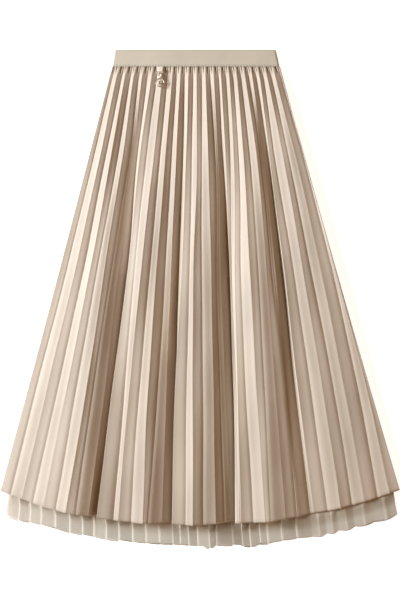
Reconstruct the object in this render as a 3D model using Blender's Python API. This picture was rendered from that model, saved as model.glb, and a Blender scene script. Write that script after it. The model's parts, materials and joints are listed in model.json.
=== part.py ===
"""Pleated midi skirt over a pleated net underskirt, laid flat on its back, with a charm at the waist.

The file works in millimetres until a mesh is made. X runs across the skirt, +Y points to the waist and
Z = 0 is the surface that the back panel lies on. "Depth" is the distance below the waistband's seam.
"""

import math
from typing import NamedTuple

import bpy
import numpy as np
from mathutils import Vector

MM = 0.001

# Outline of the skirt as it lies, measured across X from the middle of the hem
BAND_TOP_LEFT, BAND_TOP_RIGHT = -148.5, 131.5
SEAM_LEFT, SEAM_RIGHT = -153.5, 138.5
HEM_LEFT, HEM_RIGHT = -350.0, 350.0
BAND_HEIGHT = 27.0
SIDE_DEPTH = 744.0
CENTRE_DEPTH = 800.0
HEM_ARC_POWER = 2.3
NET_SIDE_DEPTH = 790.0
NET_CENTRE_DEPTH = 845.0
NET_ARC_POWER = 2.1

# Walls and the clearances between the layers of cloth
SATIN_WALL = 1.4
NET_WALL = 1.0
BAND_WALL = 2.8
SEAM_GAP = 0.3
BAND_GAP = 0.7
HEM_TURNING = 5.0
HEM_EXTRA = 0.5

# Where the layers lie at the seam, and how far each is lifted once the pleats have opened out
OPENING_DEPTH = 160.0
BACK_NET_SEAM, BACK_NET_LIFT = 1.7, 3.2
FRONT_NET_SEAM, FRONT_NET_LIFT = 3.0, 4.9
FRONT_VALLEY_SEAM, FRONT_CREST_SEAM = 5.8, 7.0
FRONT_VALLEY_BAND, FRONT_CREST_BAND = 8.6, 13.0
SIDE_SEAM_HEIGHT = 4.7
CREST_FLAT = 0.6
CREST_FLAT_INSIDE = 0.15

# Pleats of the layers that the front panel hides
BACK_PLEATS = 20
BACK_RIDGE_RISE = 3.0
NET_PLEATS = 34
BACK_NET_WAVE = 0.8
BACK_NET_HEM_WAVE = 1.5
NET_SAG_START, NET_SAG_LENGTH = 1.0, 16.0
NET_PUFF_MOST = 12.0
NET_PUFF_HEM_LEAST = 5.0
NET_VALLEY_SHARE = 0.5

# The charm: a folded tab in the seam, a wire link, a clasp and a ring with a plain disc
CHARM_X = -71.0
TAB_HALF_WIDTH = 5.0
TAB_HALF_THICKNESS = 0.9
TAB_LENGTH = 8.4
TAB_EYE_OUTER, TAB_EYE_INNER = 2.0, 1.15
TAB_DEPTH, TAB_HEIGHT = 9.0, 12.0
TAB_TILT = math.radians(23.0)
LINK_HALF_WIDTH, LINK_LENGTH, LINK_CORNER, LINK_WIRE = 6.4, 5.2, 1.4, 0.6
CLASP_LENGTH, CLASP_HALF_WIDTH, CLASP_WIRE = 6.3, 3.0, 0.8
EYE_RADIUS, EYE_WIRE = 1.5, 0.5
CLASP_START = 2.1
CHAIN_TILT = math.radians(16.3)
BAIL_RADIUS = 1.65
RING_RADIUS, RING_WIRE = 7.0, 0.85
RING_DROP = 9.1
DISC_RADIUS, DISC_THICKNESS = 3.0, 1.2
NECK_RADIUS = 0.5
PENDANT_TILT = math.radians(4.0)

# Levels at which the folds are placed, as shares of the front panel's length
PLACE_LEVELS = (0.03, 0.205, 0.4675, 0.73, 1.0)
HEIGHT_LEVELS = (0.0, 0.03, 0.205, 0.5, 1.0)


class Fold(NamedTuple):
    """One pleat of the front panel: the valley on its left, and its crest.

    Places are in per cent of the panel's width at each of PLACE_LEVELS, left to right. Heights are in
    millimetres above the floor, at the hip, half way down and at the hem.
    """

    valley: tuple
    crest: tuple
    valley_height: tuple
    crest_height: tuple


FOLDS = (
    Fold((1.6, 2.4, 2.6, 2.3, 2.4), (3.8, 5.0, 5.7, 5.3, 5.2), (16.8, 21.5, 22.5), (21.6, 25.7, 25.5)),
    Fold((7.0, 7.9, 8.8, 8.5, 8.3), (8.6, 10.2, 10.9, 11.1, 11.0), (18.9, 25, 26.5), (23.2, 29.4, 31.8)),
    Fold((12.0, 13.3, 13.7, 14.0, 14.2), (13.6, 15.6, 16.2, 16.8, 16.8), (19.2, 28.4, 32), (21.8, 30.4, 36.5)),
    Fold((16.9, 18.9, 18.6, 18.9, 19.3), (18.5, 20.2, 21.4, 22.4, 22.5), (16.5, 26, 31.8), (17, 19.8, 22.8)),
    Fold((21.8, 22.5, 24.2, 24.2, 24.4), (24.0, 23.7, 25.2, 25.2, 25.4), (13.6, 12.6, 12.6), (17.2, 26.5, 36.5)),
    Fold((27.2, 26.5, 27.2, 28.2, 28.7), (30.2, 30.0, 29.4, 29.3, 29.9), (16, 28.8, 30.2), (20.3, 33, 32.2)),
    Fold((33.4, 33.0, 32.5, 32.5, 33.0), (36.0, 35.2, 35.0, 35.0, 35.8), (16.3, 28.2, 31.6), (19.6, 29, 36.8)),
    Fold((38.6, 38.3, 38.1, 37.7, 37.2), (40.7, 40.3, 40.1, 40.4, 40.7), (15, 21.2, 34), (18.9, 20.6, 23.8)),
    Fold((43.3, 43.3, 42.6, 42.3, 42.7), (45.3, 44.9, 43.9, 43.3, 43.7), (13, 12.6, 12.6), (18.2, 33, 34.5)),
    Fold((48.2, 47.6, 46.8, 46.3, 46.3), (50.1, 49.7, 48.2, 48.0, 48.0), (16.5, 33, 33), (21, 36.4, 37)),
    Fold((53.2, 52.2, 51.2, 50.9, 50.6), (55.3, 55.1, 54.5, 54.1, 53.6), (17.5, 32.6, 31.6), (21.5, 30.4, 27.4)),
    Fold((58.1, 58.3, 56.5, 56.0, 55.6), (60.0, 59.8, 58.0, 57.4, 57.3), (17, 25.8, 20), (16.2, 22, 14.8)),
    Fold((62.8, 61.6, 60.4, 59.3, 57.8), (64.0, 62.8, 61.2, 60.0, 58.5), (12.8, 12.6, 12.6), (17.5, 20, 27.5)),
    Fold((67.0, 65.4, 62.2, 60.8, 59.2), (68.8, 66.8, 63.4, 61.6, 60.1), (15.5, 22.5, 32), (18.8, 27, 36.2)),
    Fold((71.3, 69.2, 65.3, 63.5, 62.7), (73.4, 71.4, 68.4, 66.5, 65.7), (16.5, 27.7, 33.2), (22.5, 33.7, 36.2)),
    Fold((75.9, 74.4, 71.3, 69.0, 67.0), (78.2, 77.4, 74.5, 72.0, 70.5), (19.5, 31.2, 35), (22.3, 27.3, 26.5)),
    Fold((80.4, 79.2, 76.2, 74.4, 72.9), (82.3, 80.6, 77.8, 75.7, 74.4), (18.8, 23.2, 20.2), (17.8, 20.2, 19.2)),
    Fold((84.7, 82.5, 79.8, 77.6, 76.5), (86.6, 83.9, 81.0, 78.8, 77.7), (13, 12.6, 12.6), (15.5, 17, 18.2)),
    Fold((88.9, 86.0, 84.2, 82.6, 81.1), (90.9, 89.7, 87.7, 86.0, 84.3), (14, 15.4, 17.2), (18, 18.5, 20.4)),
    Fold((93.6, 92.4, 90.7, 89.3, 87.5), (95.7, 95.4, 94.0, 92.5, 90.7), (15.8, 16, 17.2), (17.8, 17.5, 19.6)),
    Fold((97.2, 97.2, 96.7, 95.6, 93.9), (98.3, 98.4, 98.3, 98.2, 96.9), (16, 15.2, 16.6), (16.8, 19.2, 18.8)),
)
LEFT_CREST_HEIGHT = (17, 20, 19.5)
RIGHT_CREST_HEIGHT = (14.5, 17, 16.5)

FRONT_ROWS = (0.0, 0.0075, 0.018, 0.03, 0.06, 0.11, 0.205, 0.31, 0.39, 0.4675, 0.55, 0.64, 0.73, 0.82, 0.91)
UNDER_ROWS = (0.0, 0.05, 0.2, 0.55, 0.92, 1.0)
NET_OVERHANG_ROWS = (0.12, 0.45, 1.0)


def smooth_step(share):
    """0 to 1 with level ends, for shares below 0 and above 1 too."""
    held = np.clip(share, 0.0, 1.0)
    return held * held * (3.0 - 2.0 * held)


def smooth_through(stations, values, at):
    """A smooth curve through the values that never overshoots them, read at one station."""
    x = np.asarray(stations, float)
    y = np.asarray(values, float)
    widths = np.diff(x)
    slopes = np.diff(y) / widths
    tangents = np.concatenate([[slopes[0]], np.zeros(len(x) - 2), [slopes[-1]]])
    for i in range(1, len(x) - 1):
        before, after = slopes[i - 1], slopes[i]
        if before * after > 0:
            tangents[i] = 2 * before * after / (before + after)
    i = int(np.clip(np.searchsorted(x, at) - 1, 0, len(widths) - 1))
    t = np.clip((at - x[i]) / widths[i], 0.0, 1.0)
    return (
        y[i] * (1 + 2 * t) * (1 - t) ** 2
        + tangents[i] * widths[i] * t * (1 - t) ** 2
        + y[i + 1] * t * t * (3 - 2 * t)
        + tangents[i + 1] * widths[i] * t * t * (t - 1)
    )


def hem_depth(place):
    """Depth of the satin hem at a place across the skirt, 0 at the left side and 1 at the right."""
    return CENTRE_DEPTH - (CENTRE_DEPTH - SIDE_DEPTH) * np.abs(2 * place - 1) ** HEM_ARC_POWER


def net_hem_depth(place):
    """Depth of the net's hem at a place across the skirt."""
    return NET_CENTRE_DEPTH - (NET_CENTRE_DEPTH - NET_SIDE_DEPTH) * np.abs(2 * place - 1) ** NET_ARC_POWER


def side_lines(depth):
    """X of the skirt's left and right sides at a depth: the sides are straight."""
    share = np.asarray(depth, float) / SIDE_DEPTH
    return SEAM_LEFT + (HEM_LEFT - SEAM_LEFT) * share, SEAM_RIGHT + (HEM_RIGHT - SEAM_RIGHT) * share


def opened(depth):
    """How far the pleats have opened out of the seam at a depth, 0 to 1."""
    return smooth_step(np.asarray(depth, float) / OPENING_DEPTH)


def fold_lines(row):
    """Place (0 to 1) and height of each crease of the front panel at a row, left side to right side."""
    places = [0.0]
    heights = [crease_height(LEFT_CREST_HEIGHT, True, row)]
    for fold in FOLDS:
        places.append(smooth_through(PLACE_LEVELS, fold.valley, row) / 100)
        heights.append(crease_height(fold.valley_height, False, row))
        places.append(smooth_through(PLACE_LEVELS, fold.crest, row) / 100)
        heights.append(crease_height(fold.crest_height, True, row))
    places.append(1.0)
    heights.append(crease_height(RIGHT_CREST_HEIGHT, True, row))
    return np.array(places), np.array(heights)


def crease_height(below, is_crest, row):
    """Height of one crease at a row, from the flat seam through the heights at the hip, half way down and the hem."""
    seam = FRONT_CREST_SEAM if is_crest else FRONT_VALLEY_SEAM
    band = FRONT_CREST_BAND if is_crest else FRONT_VALLEY_BAND
    return smooth_through(HEIGHT_LEVELS, (seam, band, *below), row)


def front_profile(row, wall):
    """The front panel's section at a row: X and height of its upper and lower lines, and the depth of each point.

    The lower line is the upper one moved in by the wall. Each crest is a narrow flat instead of an edge, and
    both sides turn down to meet the back panel.
    """
    places, heights = fold_lines(row)
    places = np.array([0.0, *places, 1.0])
    heights = np.array([SIDE_SEAM_HEIGHT + SEAM_GAP, *heights, SIDE_SEAM_HEIGHT + SEAM_GAP])
    depths = row * hem_depth(places)
    left, right = side_lines(depths)
    x = left + places * (right - left)
    x[1] += 1.5 * CREST_FLAT
    x[-2] -= 1.5 * CREST_FLAT
    inner_x, inner_z = moved_inward(x, heights, wall, -1)
    inner_z[[0, -1]] = heights[[0, -1]]
    upper_x, upper_z, lower_x, lower_z, point_depths = [], [], [], [], []
    for i in range(len(x)):
        is_crest = i % 2 == 1 and 1 < i < len(x) - 2
        for side in (-1, 1) if is_crest else (0,):
            upper_x.append(x[i] + side * CREST_FLAT)
            upper_z.append(heights[i])
            lower_x.append(inner_x[i] + side * CREST_FLAT_INSIDE)
            lower_z.append(inner_z[i])
            point_depths.append(depths[i])
    return np.array([upper_x, upper_z, lower_x, lower_z, point_depths])


def moved_inward(x, z, distance, side):
    """A line in the X-Z plane moved along its own normals, to side +1 (up) or -1 (down), with mitred corners."""
    run = np.stack([np.diff(x), np.diff(z)], axis=1)
    run /= np.linalg.norm(run, axis=1, keepdims=True)
    normals = np.stack([-run[:, 1], run[:, 0]], axis=1)
    before = np.vstack([normals[:1], normals])
    after = np.vstack([normals, normals[-1:]])
    total = before + after
    mitre = total / np.maximum(1.0 + np.sum(before * after, axis=1, keepdims=True), 0.32)
    return x + side * distance * mitre[:, 0], z + side * distance * mitre[:, 1]


def grid_points(x_rows, depth_rows, z_rows):
    """Points of a panel's face, in rows from the seam to the hem."""
    return np.stack([np.array(x_rows), -np.array(depth_rows), np.array(z_rows)], axis=2)


def panel_solid(name, upper, lower, material, parent):
    """A closed wall between two matching grids of points, the upper and the lower face of a panel."""
    rows, columns = upper.shape[:2]
    count = rows * columns
    points = np.vstack([upper.reshape(-1, 3), lower.reshape(-1, 3)]) * MM
    faces = []
    for r in range(rows - 1):
        for c in range(columns - 1):
            a, b = r * columns + c, (r + 1) * columns + c
            faces += [(a, b, b + 1), (a, b + 1, a + 1)]
            faces += [(a + count, b + 1 + count, b + count), (a + count, a + 1 + count, b + 1 + count)]
    left = [r * columns for r in range(rows)]
    bottom = [(rows - 1) * columns + c for c in range(1, columns)]
    right = [r * columns + columns - 1 for r in range(rows - 2, -1, -1)]
    top = list(range(columns - 2, 0, -1))
    rim = left + bottom + right + top
    for a, b in zip(rim, rim[1:] + rim[:1]):
        faces.append((a, a + count, b + count, b))
    return new_object(name, points, faces, material, parent)


def new_object(name, points, faces, material, parent, smooth=False):
    """A mesh object with its material, parented so that its points are in the parent's space."""
    mesh = bpy.data.meshes.new(name)
    mesh.from_pydata([tuple(p) for p in points], [], faces)
    mesh.validate()
    mesh.materials.append(material)
    if smooth:
        mesh.shade_smooth()
        mesh.set_sharp_from_angle(angle=math.radians(40))
    made = bpy.data.objects.new(name, mesh)
    bpy.context.scene.collection.objects.link(made)
    made.parent = parent
    return made


def new_material(name, colour, roughness, metallic=0.0, alpha=1.0):
    """A plain Principled material."""
    made = bpy.data.materials.new(name)
    made.use_nodes = True
    shader = made.node_tree.nodes["Principled BSDF"]
    shader.inputs["Base Color"].default_value = (*colour, 1.0)
    shader.inputs["Roughness"].default_value = roughness
    shader.inputs["Metallic"].default_value = metallic
    shader.inputs["Alpha"].default_value = alpha
    return made


def new_empty(name, place, tilt, parent):
    """An empty at a place in millimetres, turned about X."""
    made = bpy.data.objects.new(name, None)
    bpy.context.scene.collection.objects.link(made)
    made.parent = parent
    made.location = Vector(place) * MM
    made.rotation_euler = (tilt, 0.0, 0.0)
    return made


def front_panel(material, parent):
    """The pleated satin front, with its folds as they lie and a narrow turned hem."""
    turning = HEM_TURNING / CENTRE_DEPTH
    rows = [*FRONT_ROWS, 1.0 - turning * 1.1, 1.0 - turning, 1.0]
    walls = [SATIN_WALL + (HEM_EXTRA if row > 1.0 - turning * 1.05 else 0.0) for row in rows]
    sections = np.array([front_profile(row, wall) for row, wall in zip(rows, walls)])
    upper = grid_points(sections[:, 0], sections[:, 4], sections[:, 1])
    lower = grid_points(sections[:, 2], sections[:, 4], sections[:, 3])
    return panel_solid("satin_front", upper, lower, material, parent)


def back_profile(row):
    """The back panel's lower line at a row: flats on the floor between low pressed ridges, sides turned up."""
    x_flat, z_flat = [], []
    for k in range(BACK_PLEATS):
        start = (k + 0.27 + 0.06 * math.sin(2.4 * k)) / BACK_PLEATS
        ridge = (0.0, 0.10, 0.26, 0.36)
        rise = (0.0, 1.0, 1.0, 0.0)
        for offset, share in zip(ridge, rise):
            x_flat.append(start + offset / BACK_PLEATS)
            z_flat.append(share)
    places = np.array([0.0, 0.004, 0.010, *x_flat, 0.990, 0.996, 1.0])
    depths = row * hem_depth(places)
    left, right = side_lines(depths)
    lift = BACK_RIDGE_RISE * opened(depths)
    z = np.array([0.0, 0.0, 0.0, *z_flat, 0.0, 0.0, 0.0]) * lift
    z[[0, -1]] = SIDE_SEAM_HEIGHT
    z[[1, -2]] = 0.3 * SIDE_SEAM_HEIGHT
    return left + places * (right - left), z, depths


def back_panel(material, parent):
    """The pleated satin back, pressed flat where it lies on the floor."""
    upper_x, upper_z, lower_x, lower_z, depths = [], [], [], [], []
    for row in UNDER_ROWS:
        x, z, depth = back_profile(row)
        inner_x, inner_z = moved_inward(x, z, SATIN_WALL, 1)
        inner_z[[0, -1]] = SIDE_SEAM_HEIGHT
        upper_x.append(inner_x)
        upper_z.append(inner_z)
        lower_x.append(x)
        lower_z.append(z)
        depths.append(depth)
    upper = grid_points(upper_x, depths, upper_z)
    lower = grid_points(lower_x, depths, lower_z)
    return panel_solid("satin_back", upper, lower, material, parent)


def net_places():
    """Places of the net's creases across its width, unevenly spaced, valleys at even indexes."""
    steps = np.arange(2 * NET_PLEATS + 1)
    uneven = 0.22 * np.sin(2.4 * steps) + 0.12 * np.sin(0.7 * steps)
    places = (steps + uneven) / (2 * NET_PLEATS)
    places[0], places[-1] = 0.0, 1.0
    return places


def net_line(places, row, overhang):
    """X and depth of the net's creases: at a row under the satin, or an overhang share (0 to 1) beyond its hem."""
    satin = hem_depth(places)
    depths = row * satin + overhang * (net_hem_depth(places) - satin)
    left, right = side_lines(depths)
    inset = 4.0 + 5.0 * opened(depths) + 5.0 * overhang
    left, right = left + inset, right - inset
    return left + places * (right - left), depths


def net_sag(places, depths):
    """How far the net has come down to the floor beyond the satin hem, 0 to 1."""
    return smooth_step((depths - hem_depth(places) - NET_SAG_START) / NET_SAG_LENGTH)


def room_under_front(x, row_low, row_high):
    """Lowest height of the front panel's lower face near each X, between two rows."""
    room = np.full(len(x), 1e9)
    reach = 1.25 * np.gradient(x)
    steps = np.linspace(0.0, 1.0, 9)
    for row in np.linspace(row_low, row_high, 9):
        _, _, low_x, low_z, _ = front_profile(row, SATIN_WALL + HEM_EXTRA)
        dense_x = (low_x[:-1, None] + np.diff(low_x)[:, None] * steps).ravel()
        dense_z = (low_z[:-1, None] + np.diff(low_z)[:, None] * steps).ravel()
        near = np.abs(dense_x[None, :] - x[:, None]) < reach[:, None]
        room = np.minimum(room, np.where(near, dense_z[None, :], 1e9).min(axis=1))
    return room


def front_net(material, parent):
    """The front of the net underskirt: pressed flat under the satin's deep folds, puffed up under its ridges."""
    places = net_places()
    is_crest = np.arange(len(places)) % 2 == 1
    under = [(row, 0.0) for row in UNDER_ROWS]
    beyond = [(1.0, share) for share in NET_OVERHANG_ROWS]
    upper_x, upper_z, depths = [], [], []
    puff = None
    for i, (row, overhang) in enumerate(under + beyond):
        x, depth = net_line(places, row, overhang)
        base = FRONT_NET_SEAM + FRONT_NET_LIFT * opened(depth) + NET_WALL
        if overhang == 0.0:
            low = under[max(i - 1, 0)][0]
            high = under[min(i + 1, len(under) - 1)][0]
            room = room_under_front(x, low, high) - SEAM_GAP - base
            puff = np.clip(room, 0.0, NET_PUFF_MOST)
        else:
            blend = smooth_step(overhang / 0.6)
            puff = puff * (1 - blend) + np.maximum(puff * 0.9, NET_PUFF_HEM_LEAST) * blend
        sag = (BACK_NET_SEAM + BACK_NET_LIFT) * net_sag(places, depth)
        z = base - sag + puff * np.where(is_crest, 1.0, NET_VALLEY_SHARE)
        z[[0, -1]] = (base - sag)[[0, -1]]
        upper_x.append(x)
        upper_z.append(z)
        depths.append(depth)
    upper = grid_points(upper_x, depths, upper_z)
    lower = upper - np.array([0.0, 0.0, NET_WALL])
    return panel_solid("net_front", upper, lower, material, parent)


def back_net(material, parent):
    """The back of the net underskirt, which comes down to the floor beyond the satin hem."""
    places = net_places()
    wave = np.where(np.arange(len(places)) % 2 == 1, 1.0, 0.0)
    rows = [(row, 0.0) for row in UNDER_ROWS] + [(1.0, share) for share in NET_OVERHANG_ROWS]
    lower_x, lower_z, depths = [], [], []
    for row, overhang in rows:
        x, depth = net_line(places, row, overhang)
        sag = net_sag(places, depth)
        base = (BACK_NET_SEAM + BACK_NET_LIFT * opened(depth)) * (1 - sag)
        height = BACK_NET_WAVE * opened(depth) * (1 - sag) + BACK_NET_HEM_WAVE * sag
        lower_x.append(x)
        lower_z.append(base + height * wave)
        depths.append(depth)
    lower = grid_points(lower_x, depths, lower_z)
    upper = lower + np.array([0.0, 0.0, NET_WALL])
    return panel_solid("net_back", upper, lower, material, parent)


def waistband_half(name, is_front, material, parent):
    """Half of the elastic waistband: a soft-edged slab whose ends turn to meet the other half."""
    across = np.array([0.0, 0.6, 2.4, 6.0, 40.0, 90.0, 145.0])
    from_top = (0.0, 1.0, 3.0, BAND_HEIGHT / 2, BAND_HEIGHT - 3.0, BAND_HEIGHT - 1.0, BAND_HEIGHT - SEAM_GAP)
    edge_drop = (0.8, 0.25, 0.0, 0.0, 0.0, 0.25, 0.8)
    meeting = BAND_WALL + BAND_GAP / 2
    outer_rows, inner_rows = [], []
    for distance, drop in zip(from_top, edge_drop):
        share = distance / BAND_HEIGHT
        left = BAND_TOP_LEFT + (SEAM_LEFT - BAND_TOP_LEFT) * share
        right = BAND_TOP_RIGHT + (SEAM_RIGHT - BAND_TOP_RIGHT) * share
        x = np.array([*(left + across[:-1]), (left + right) / 2, *(right - across[-2::-1])])
        thickness = BAND_WALL * np.array([0.0, 0.42, 0.86, *[1.0] * (len(x) - 6), 0.86, 0.42, 0.0])
        thickness = np.maximum(thickness - drop, -BAND_GAP / 2)
        inner = np.full(len(x), -BAND_GAP / 2)
        inner[1:-1] = 0.0
        inner_x = x.copy()
        inner_x[0], inner_x[-1] = x[0] + 1.2, x[-1] - 1.2
        inner_x[1], inner_x[-2] = x[0] + 1.8, x[-1] - 1.8
        outer_rows.append((x, thickness))
        inner_rows.append((inner_x, inner))
    sign = 1.0 if is_front else -1.0
    start = meeting + BAND_GAP / 2 if is_front else meeting - BAND_GAP / 2
    y_rows = [BAND_HEIGHT - distance for distance in from_top]
    outer = band_grid(outer_rows, y_rows, start, sign)
    inner = band_grid(inner_rows, y_rows, start, sign)
    lip = SEAM_GAP / 2 if is_front else -SEAM_GAP / 2
    for grid in (outer, inner):
        grid[:, [0, -1], 2] = meeting + lip
    if not is_front:
        outer[:, 3:-3, 2] = 0.0
        outer[:, :, 2] = np.maximum(outer[:, :, 2], 0.0)
    upper, lower = (outer, inner) if is_front else (inner, outer)
    return panel_solid(name, upper, lower, material, parent)


def band_grid(rows, y_rows, start, sign):
    """Points of one face of a waistband half: X and height above the half's inner face, row by row."""
    points = []
    for (x, height), y in zip(rows, y_rows):
        points.append(np.stack([x, np.full(len(x), y), start + sign * height], axis=1))
    return np.array(points)


def tube_along(points, radius, sides, first_normal):
    """Points and faces of a round tube along a closed flat path; first_normal stands off the path's plane."""
    path = np.asarray(points, float)
    along = np.roll(path, -1, axis=0) - np.roll(path, 1, axis=0)
    along /= np.linalg.norm(along, axis=1, keepdims=True)
    out = np.tile(np.asarray(first_normal, float), (len(path), 1))
    beside = np.cross(along, out)
    made, faces = [], []
    for k in range(sides):
        angle = 2 * math.pi * k / sides
        made.append(path + radius * (math.cos(angle) * out + math.sin(angle) * beside))
    made = np.array(made).transpose(1, 0, 2).reshape(-1, 3)
    for i in range(len(path)):
        j = (i + 1) % len(path)
        for k in range(sides):
            m = (k + 1) % sides
            faces.append((i * sides + k, i * sides + m, j * sides + m, j * sides + k))
    return made, faces


def circle_path(radius, centre, steps, upright=False):
    """A closed circle about centre, lying in X-Y, or standing in Y-Z if upright."""
    turn = np.arange(steps) * 2 * math.pi / steps
    across, along = radius * np.sin(turn), radius * np.cos(turn)
    zero = np.zeros(steps)
    offsets = np.stack([zero, along, across] if upright else [across, along, zero], axis=1)
    return offsets + np.asarray(centre, float)


def link_path():
    """The link's centre line: a rectangle with round corners, its upper bar on the tab's eye."""
    corner_turns = np.linspace(0.0, math.pi / 2, 5)
    corners = ((1, 1, 0.0), (1, -1, math.pi / 2), (-1, -1, math.pi), (-1, 1, 1.5 * math.pi))
    path = []
    for side, end, start in corners:
        centre_x = side * (LINK_HALF_WIDTH - LINK_CORNER)
        centre_y = -LINK_LENGTH / 2 + end * (LINK_LENGTH / 2 - LINK_CORNER)
        for turn in start + corner_turns:
            path.append((centre_x + LINK_CORNER * math.sin(turn), centre_y + LINK_CORNER * math.cos(turn), 0.0))
    return path


def clasp_path(steps=28):
    """The clasp's centre line: a drop, narrow at the eye and round at the far end."""
    path = []
    for k in range(steps):
        turn = 2 * math.pi * k / steps
        x = CLASP_HALF_WIDTH * math.sin(turn) * (0.55 + 0.62 * math.sin(turn / 2) ** 2)
        y = -CLASP_START - CLASP_LENGTH / 2 + CLASP_LENGTH / 2 * math.cos(turn)
        path.append((x, y, 0.0))
    return path


def cylinder_between(start, end, radius, sides):
    """Points and faces of a closed cylinder."""
    start, end = np.asarray(start, float), np.asarray(end, float)
    along = (end - start) / np.linalg.norm(end - start)
    helper = np.array([1.0, 0.0, 0.0]) if abs(along[0]) < 0.9 else np.array([0.0, 1.0, 0.0])
    first = np.cross(along, helper)
    first /= np.linalg.norm(first)
    second = np.cross(along, first)
    turns = np.arange(sides) * 2 * math.pi / sides
    ring = radius * (np.cos(turns)[:, None] * first + np.sin(turns)[:, None] * second)
    faces = [tuple(range(sides - 1, -1, -1)), tuple(range(sides, 2 * sides))]
    for k in range(sides):
        m = (k + 1) % sides
        faces.append((k, m, m + sides, k + sides))
    return np.vstack([start + ring, end + ring]), faces


def fused(name, shapes, material, parent):
    """One solid from several overlapping shapes, the others hidden as the operands of its unions."""
    base = new_object(name, shapes[0][0] * MM, shapes[0][1], material, parent, smooth=True)
    for n, (points, faces) in enumerate(shapes[1:], 1):
        operand = new_object(f"{name}_operand_{n}", points * MM, faces, material, parent, smooth=True)
        operand.hide_render = True
        operand.display_type = "WIRE"
        union = base.modifiers.new(f"join_{n}", "BOOLEAN")
        union.operation = "UNION"
        union.object = operand
    return base


def tab_solid(material, parent):
    """The folded tab: two layers of ribbon that open into an eye for the link, as one extruded outline."""
    end_angle = math.atan2(TAB_HALF_THICKNESS, TAB_LENGTH)
    shoulder = math.asin(TAB_HALF_THICKNESS / TAB_EYE_OUTER)
    turns = [-end_angle, end_angle, *np.linspace(shoulder, 2 * math.pi - shoulder, 18)]
    outer = []
    for n, turn in enumerate(turns):
        reach = TAB_LENGTH / math.cos(turn) if n < 2 else TAB_EYE_OUTER
        outer.append((reach * math.cos(turn), reach * math.sin(turn)))
    inner = [(TAB_EYE_INNER * math.cos(turn), TAB_EYE_INNER * math.sin(turn)) for turn in turns]
    count = len(turns)
    points = []
    for x in (-TAB_HALF_WIDTH, TAB_HALF_WIDTH):
        points += [(x, y, z) for y, z in outer] + [(x, y, z) for y, z in inner]
    faces = []
    for i in range(count):
        j = (i + 1) % count
        outer_near, inner_near = i, count + i
        outer_next, inner_next = j, count + j
        far = 2 * count
        faces.append((outer_near, outer_next, outer_next + far, outer_near + far))
        faces.append((inner_near + far, inner_next + far, inner_next, inner_near))
        faces.append((outer_near, inner_near, inner_next, outer_next))
        faces.append((outer_near + far, outer_next + far, inner_next + far, inner_near + far))
    return new_object("charm_tab", np.array(points) * MM, faces, material, parent, smooth=True)


def charm(cloth, metal, parent):
    """The charm on its tab: the link turns at the tab, the clasp at the link, and the ring at the clasp's far end."""
    tab_place = (CHARM_X, -TAB_DEPTH, TAB_HEIGHT)
    tab_frame = new_empty("tab_frame", tab_place, -TAB_TILT, parent)
    tab_solid(cloth, tab_frame)
    link_hinge = new_empty("link_hinge", tab_place, -CHAIN_TILT, parent)
    flat = (0.0, 0.0, 1.0)
    across = (1.0, 0.0, 0.0)
    link = tube_along(link_path(), LINK_WIRE, 8, flat)
    new_object("charm_link", link[0] * MM, link[1], metal, link_hinge, smooth=True)
    clasp_hinge = new_empty("clasp_hinge", (0.0, -LINK_LENGTH, 0.0), 0.0, link_hinge)
    eye = tube_along(circle_path(EYE_RADIUS, (0.0, 0.0, 0.0), 18, True), EYE_WIRE, 8, across)
    body = tube_along(clasp_path(), CLASP_WIRE, 10, flat)
    lever_start = (CLASP_HALF_WIDTH - 0.4, -CLASP_START - 2.2, 0.0)
    lever_end = (CLASP_HALF_WIDTH + 1.7, -CLASP_START - 1.2, 0.0)
    lever = cylinder_between(lever_start, lever_end, 0.7, 10)
    fused("charm_clasp", [body, eye, lever], metal, clasp_hinge)
    far_end = (0.0, -CLASP_START - CLASP_LENGTH, 0.0)
    ring_hinge = new_empty("ring_hinge", far_end, CHAIN_TILT - PENDANT_TILT, clasp_hinge)
    centre = (0.0, -RING_DROP, 0.0)
    ring = tube_along(circle_path(RING_RADIUS, centre, 36), RING_WIRE, 10, flat)
    bail = tube_along(circle_path(BAIL_RADIUS, (0.0, 0.0, 0.0), 18, True), EYE_WIRE, 8, across)
    neck_top = (0.0, -RING_DROP + RING_RADIUS, 0.0)
    neck = cylinder_between(neck_top, (0.0, -RING_DROP + DISC_RADIUS - 0.8, 0.0), NECK_RADIUS, 10)
    half = DISC_THICKNESS / 2
    disc = cylinder_between((0.0, -RING_DROP, -half), (0.0, -RING_DROP, half), DISC_RADIUS, 24)
    fused("charm_ring", [ring, bail, neck, disc], metal, ring_hinge)


def main():
    """Clears the scene and builds the skirt, its origin under the middle of its bounding box."""
    for old in list(bpy.data.objects):
        bpy.data.objects.remove(old)
    satin = new_material("champagne_satin", (0.83, 0.74, 0.66), 0.55)
    satin_back = new_material("champagne_satin_back", (0.80, 0.71, 0.63), 0.6)
    band = new_material("waistband_satin", (0.72, 0.65, 0.55), 0.5)
    net = new_material("ivory_net", (0.82, 0.79, 0.74), 0.8, alpha=0.6)
    tab = new_material("tab_ribbon", (0.92, 0.88, 0.82), 0.6)
    metal = new_material("pale_gold", (0.80, 0.75, 0.64), 0.25, metallic=1.0)
    middle_depth = (NET_CENTRE_DEPTH - BAND_HEIGHT) / 2
    skirt = new_empty("skirt", (0.0, middle_depth, 0.0), 0.0, None)
    waistband_half("waistband_front", True, band, skirt)
    waistband_half("waistband_back", False, band, skirt)
    front_panel(satin, skirt)
    back_panel(satin_back, skirt)
    front_net(net, skirt)
    back_net(net, skirt)
    charm(tab, metal, skirt)


main()
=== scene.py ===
"""Dresses a sunray-pleated satin skirt that lies flat over its pleated net underskirt.

Sizes are in millimetres until a mesh is made. X runs across the skirt, +Y points to the waist, and "depth" is the
distance below the waistband's seam. Each sub-assembly is a class that holds its sizes and builds its pieces.
"""

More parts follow.
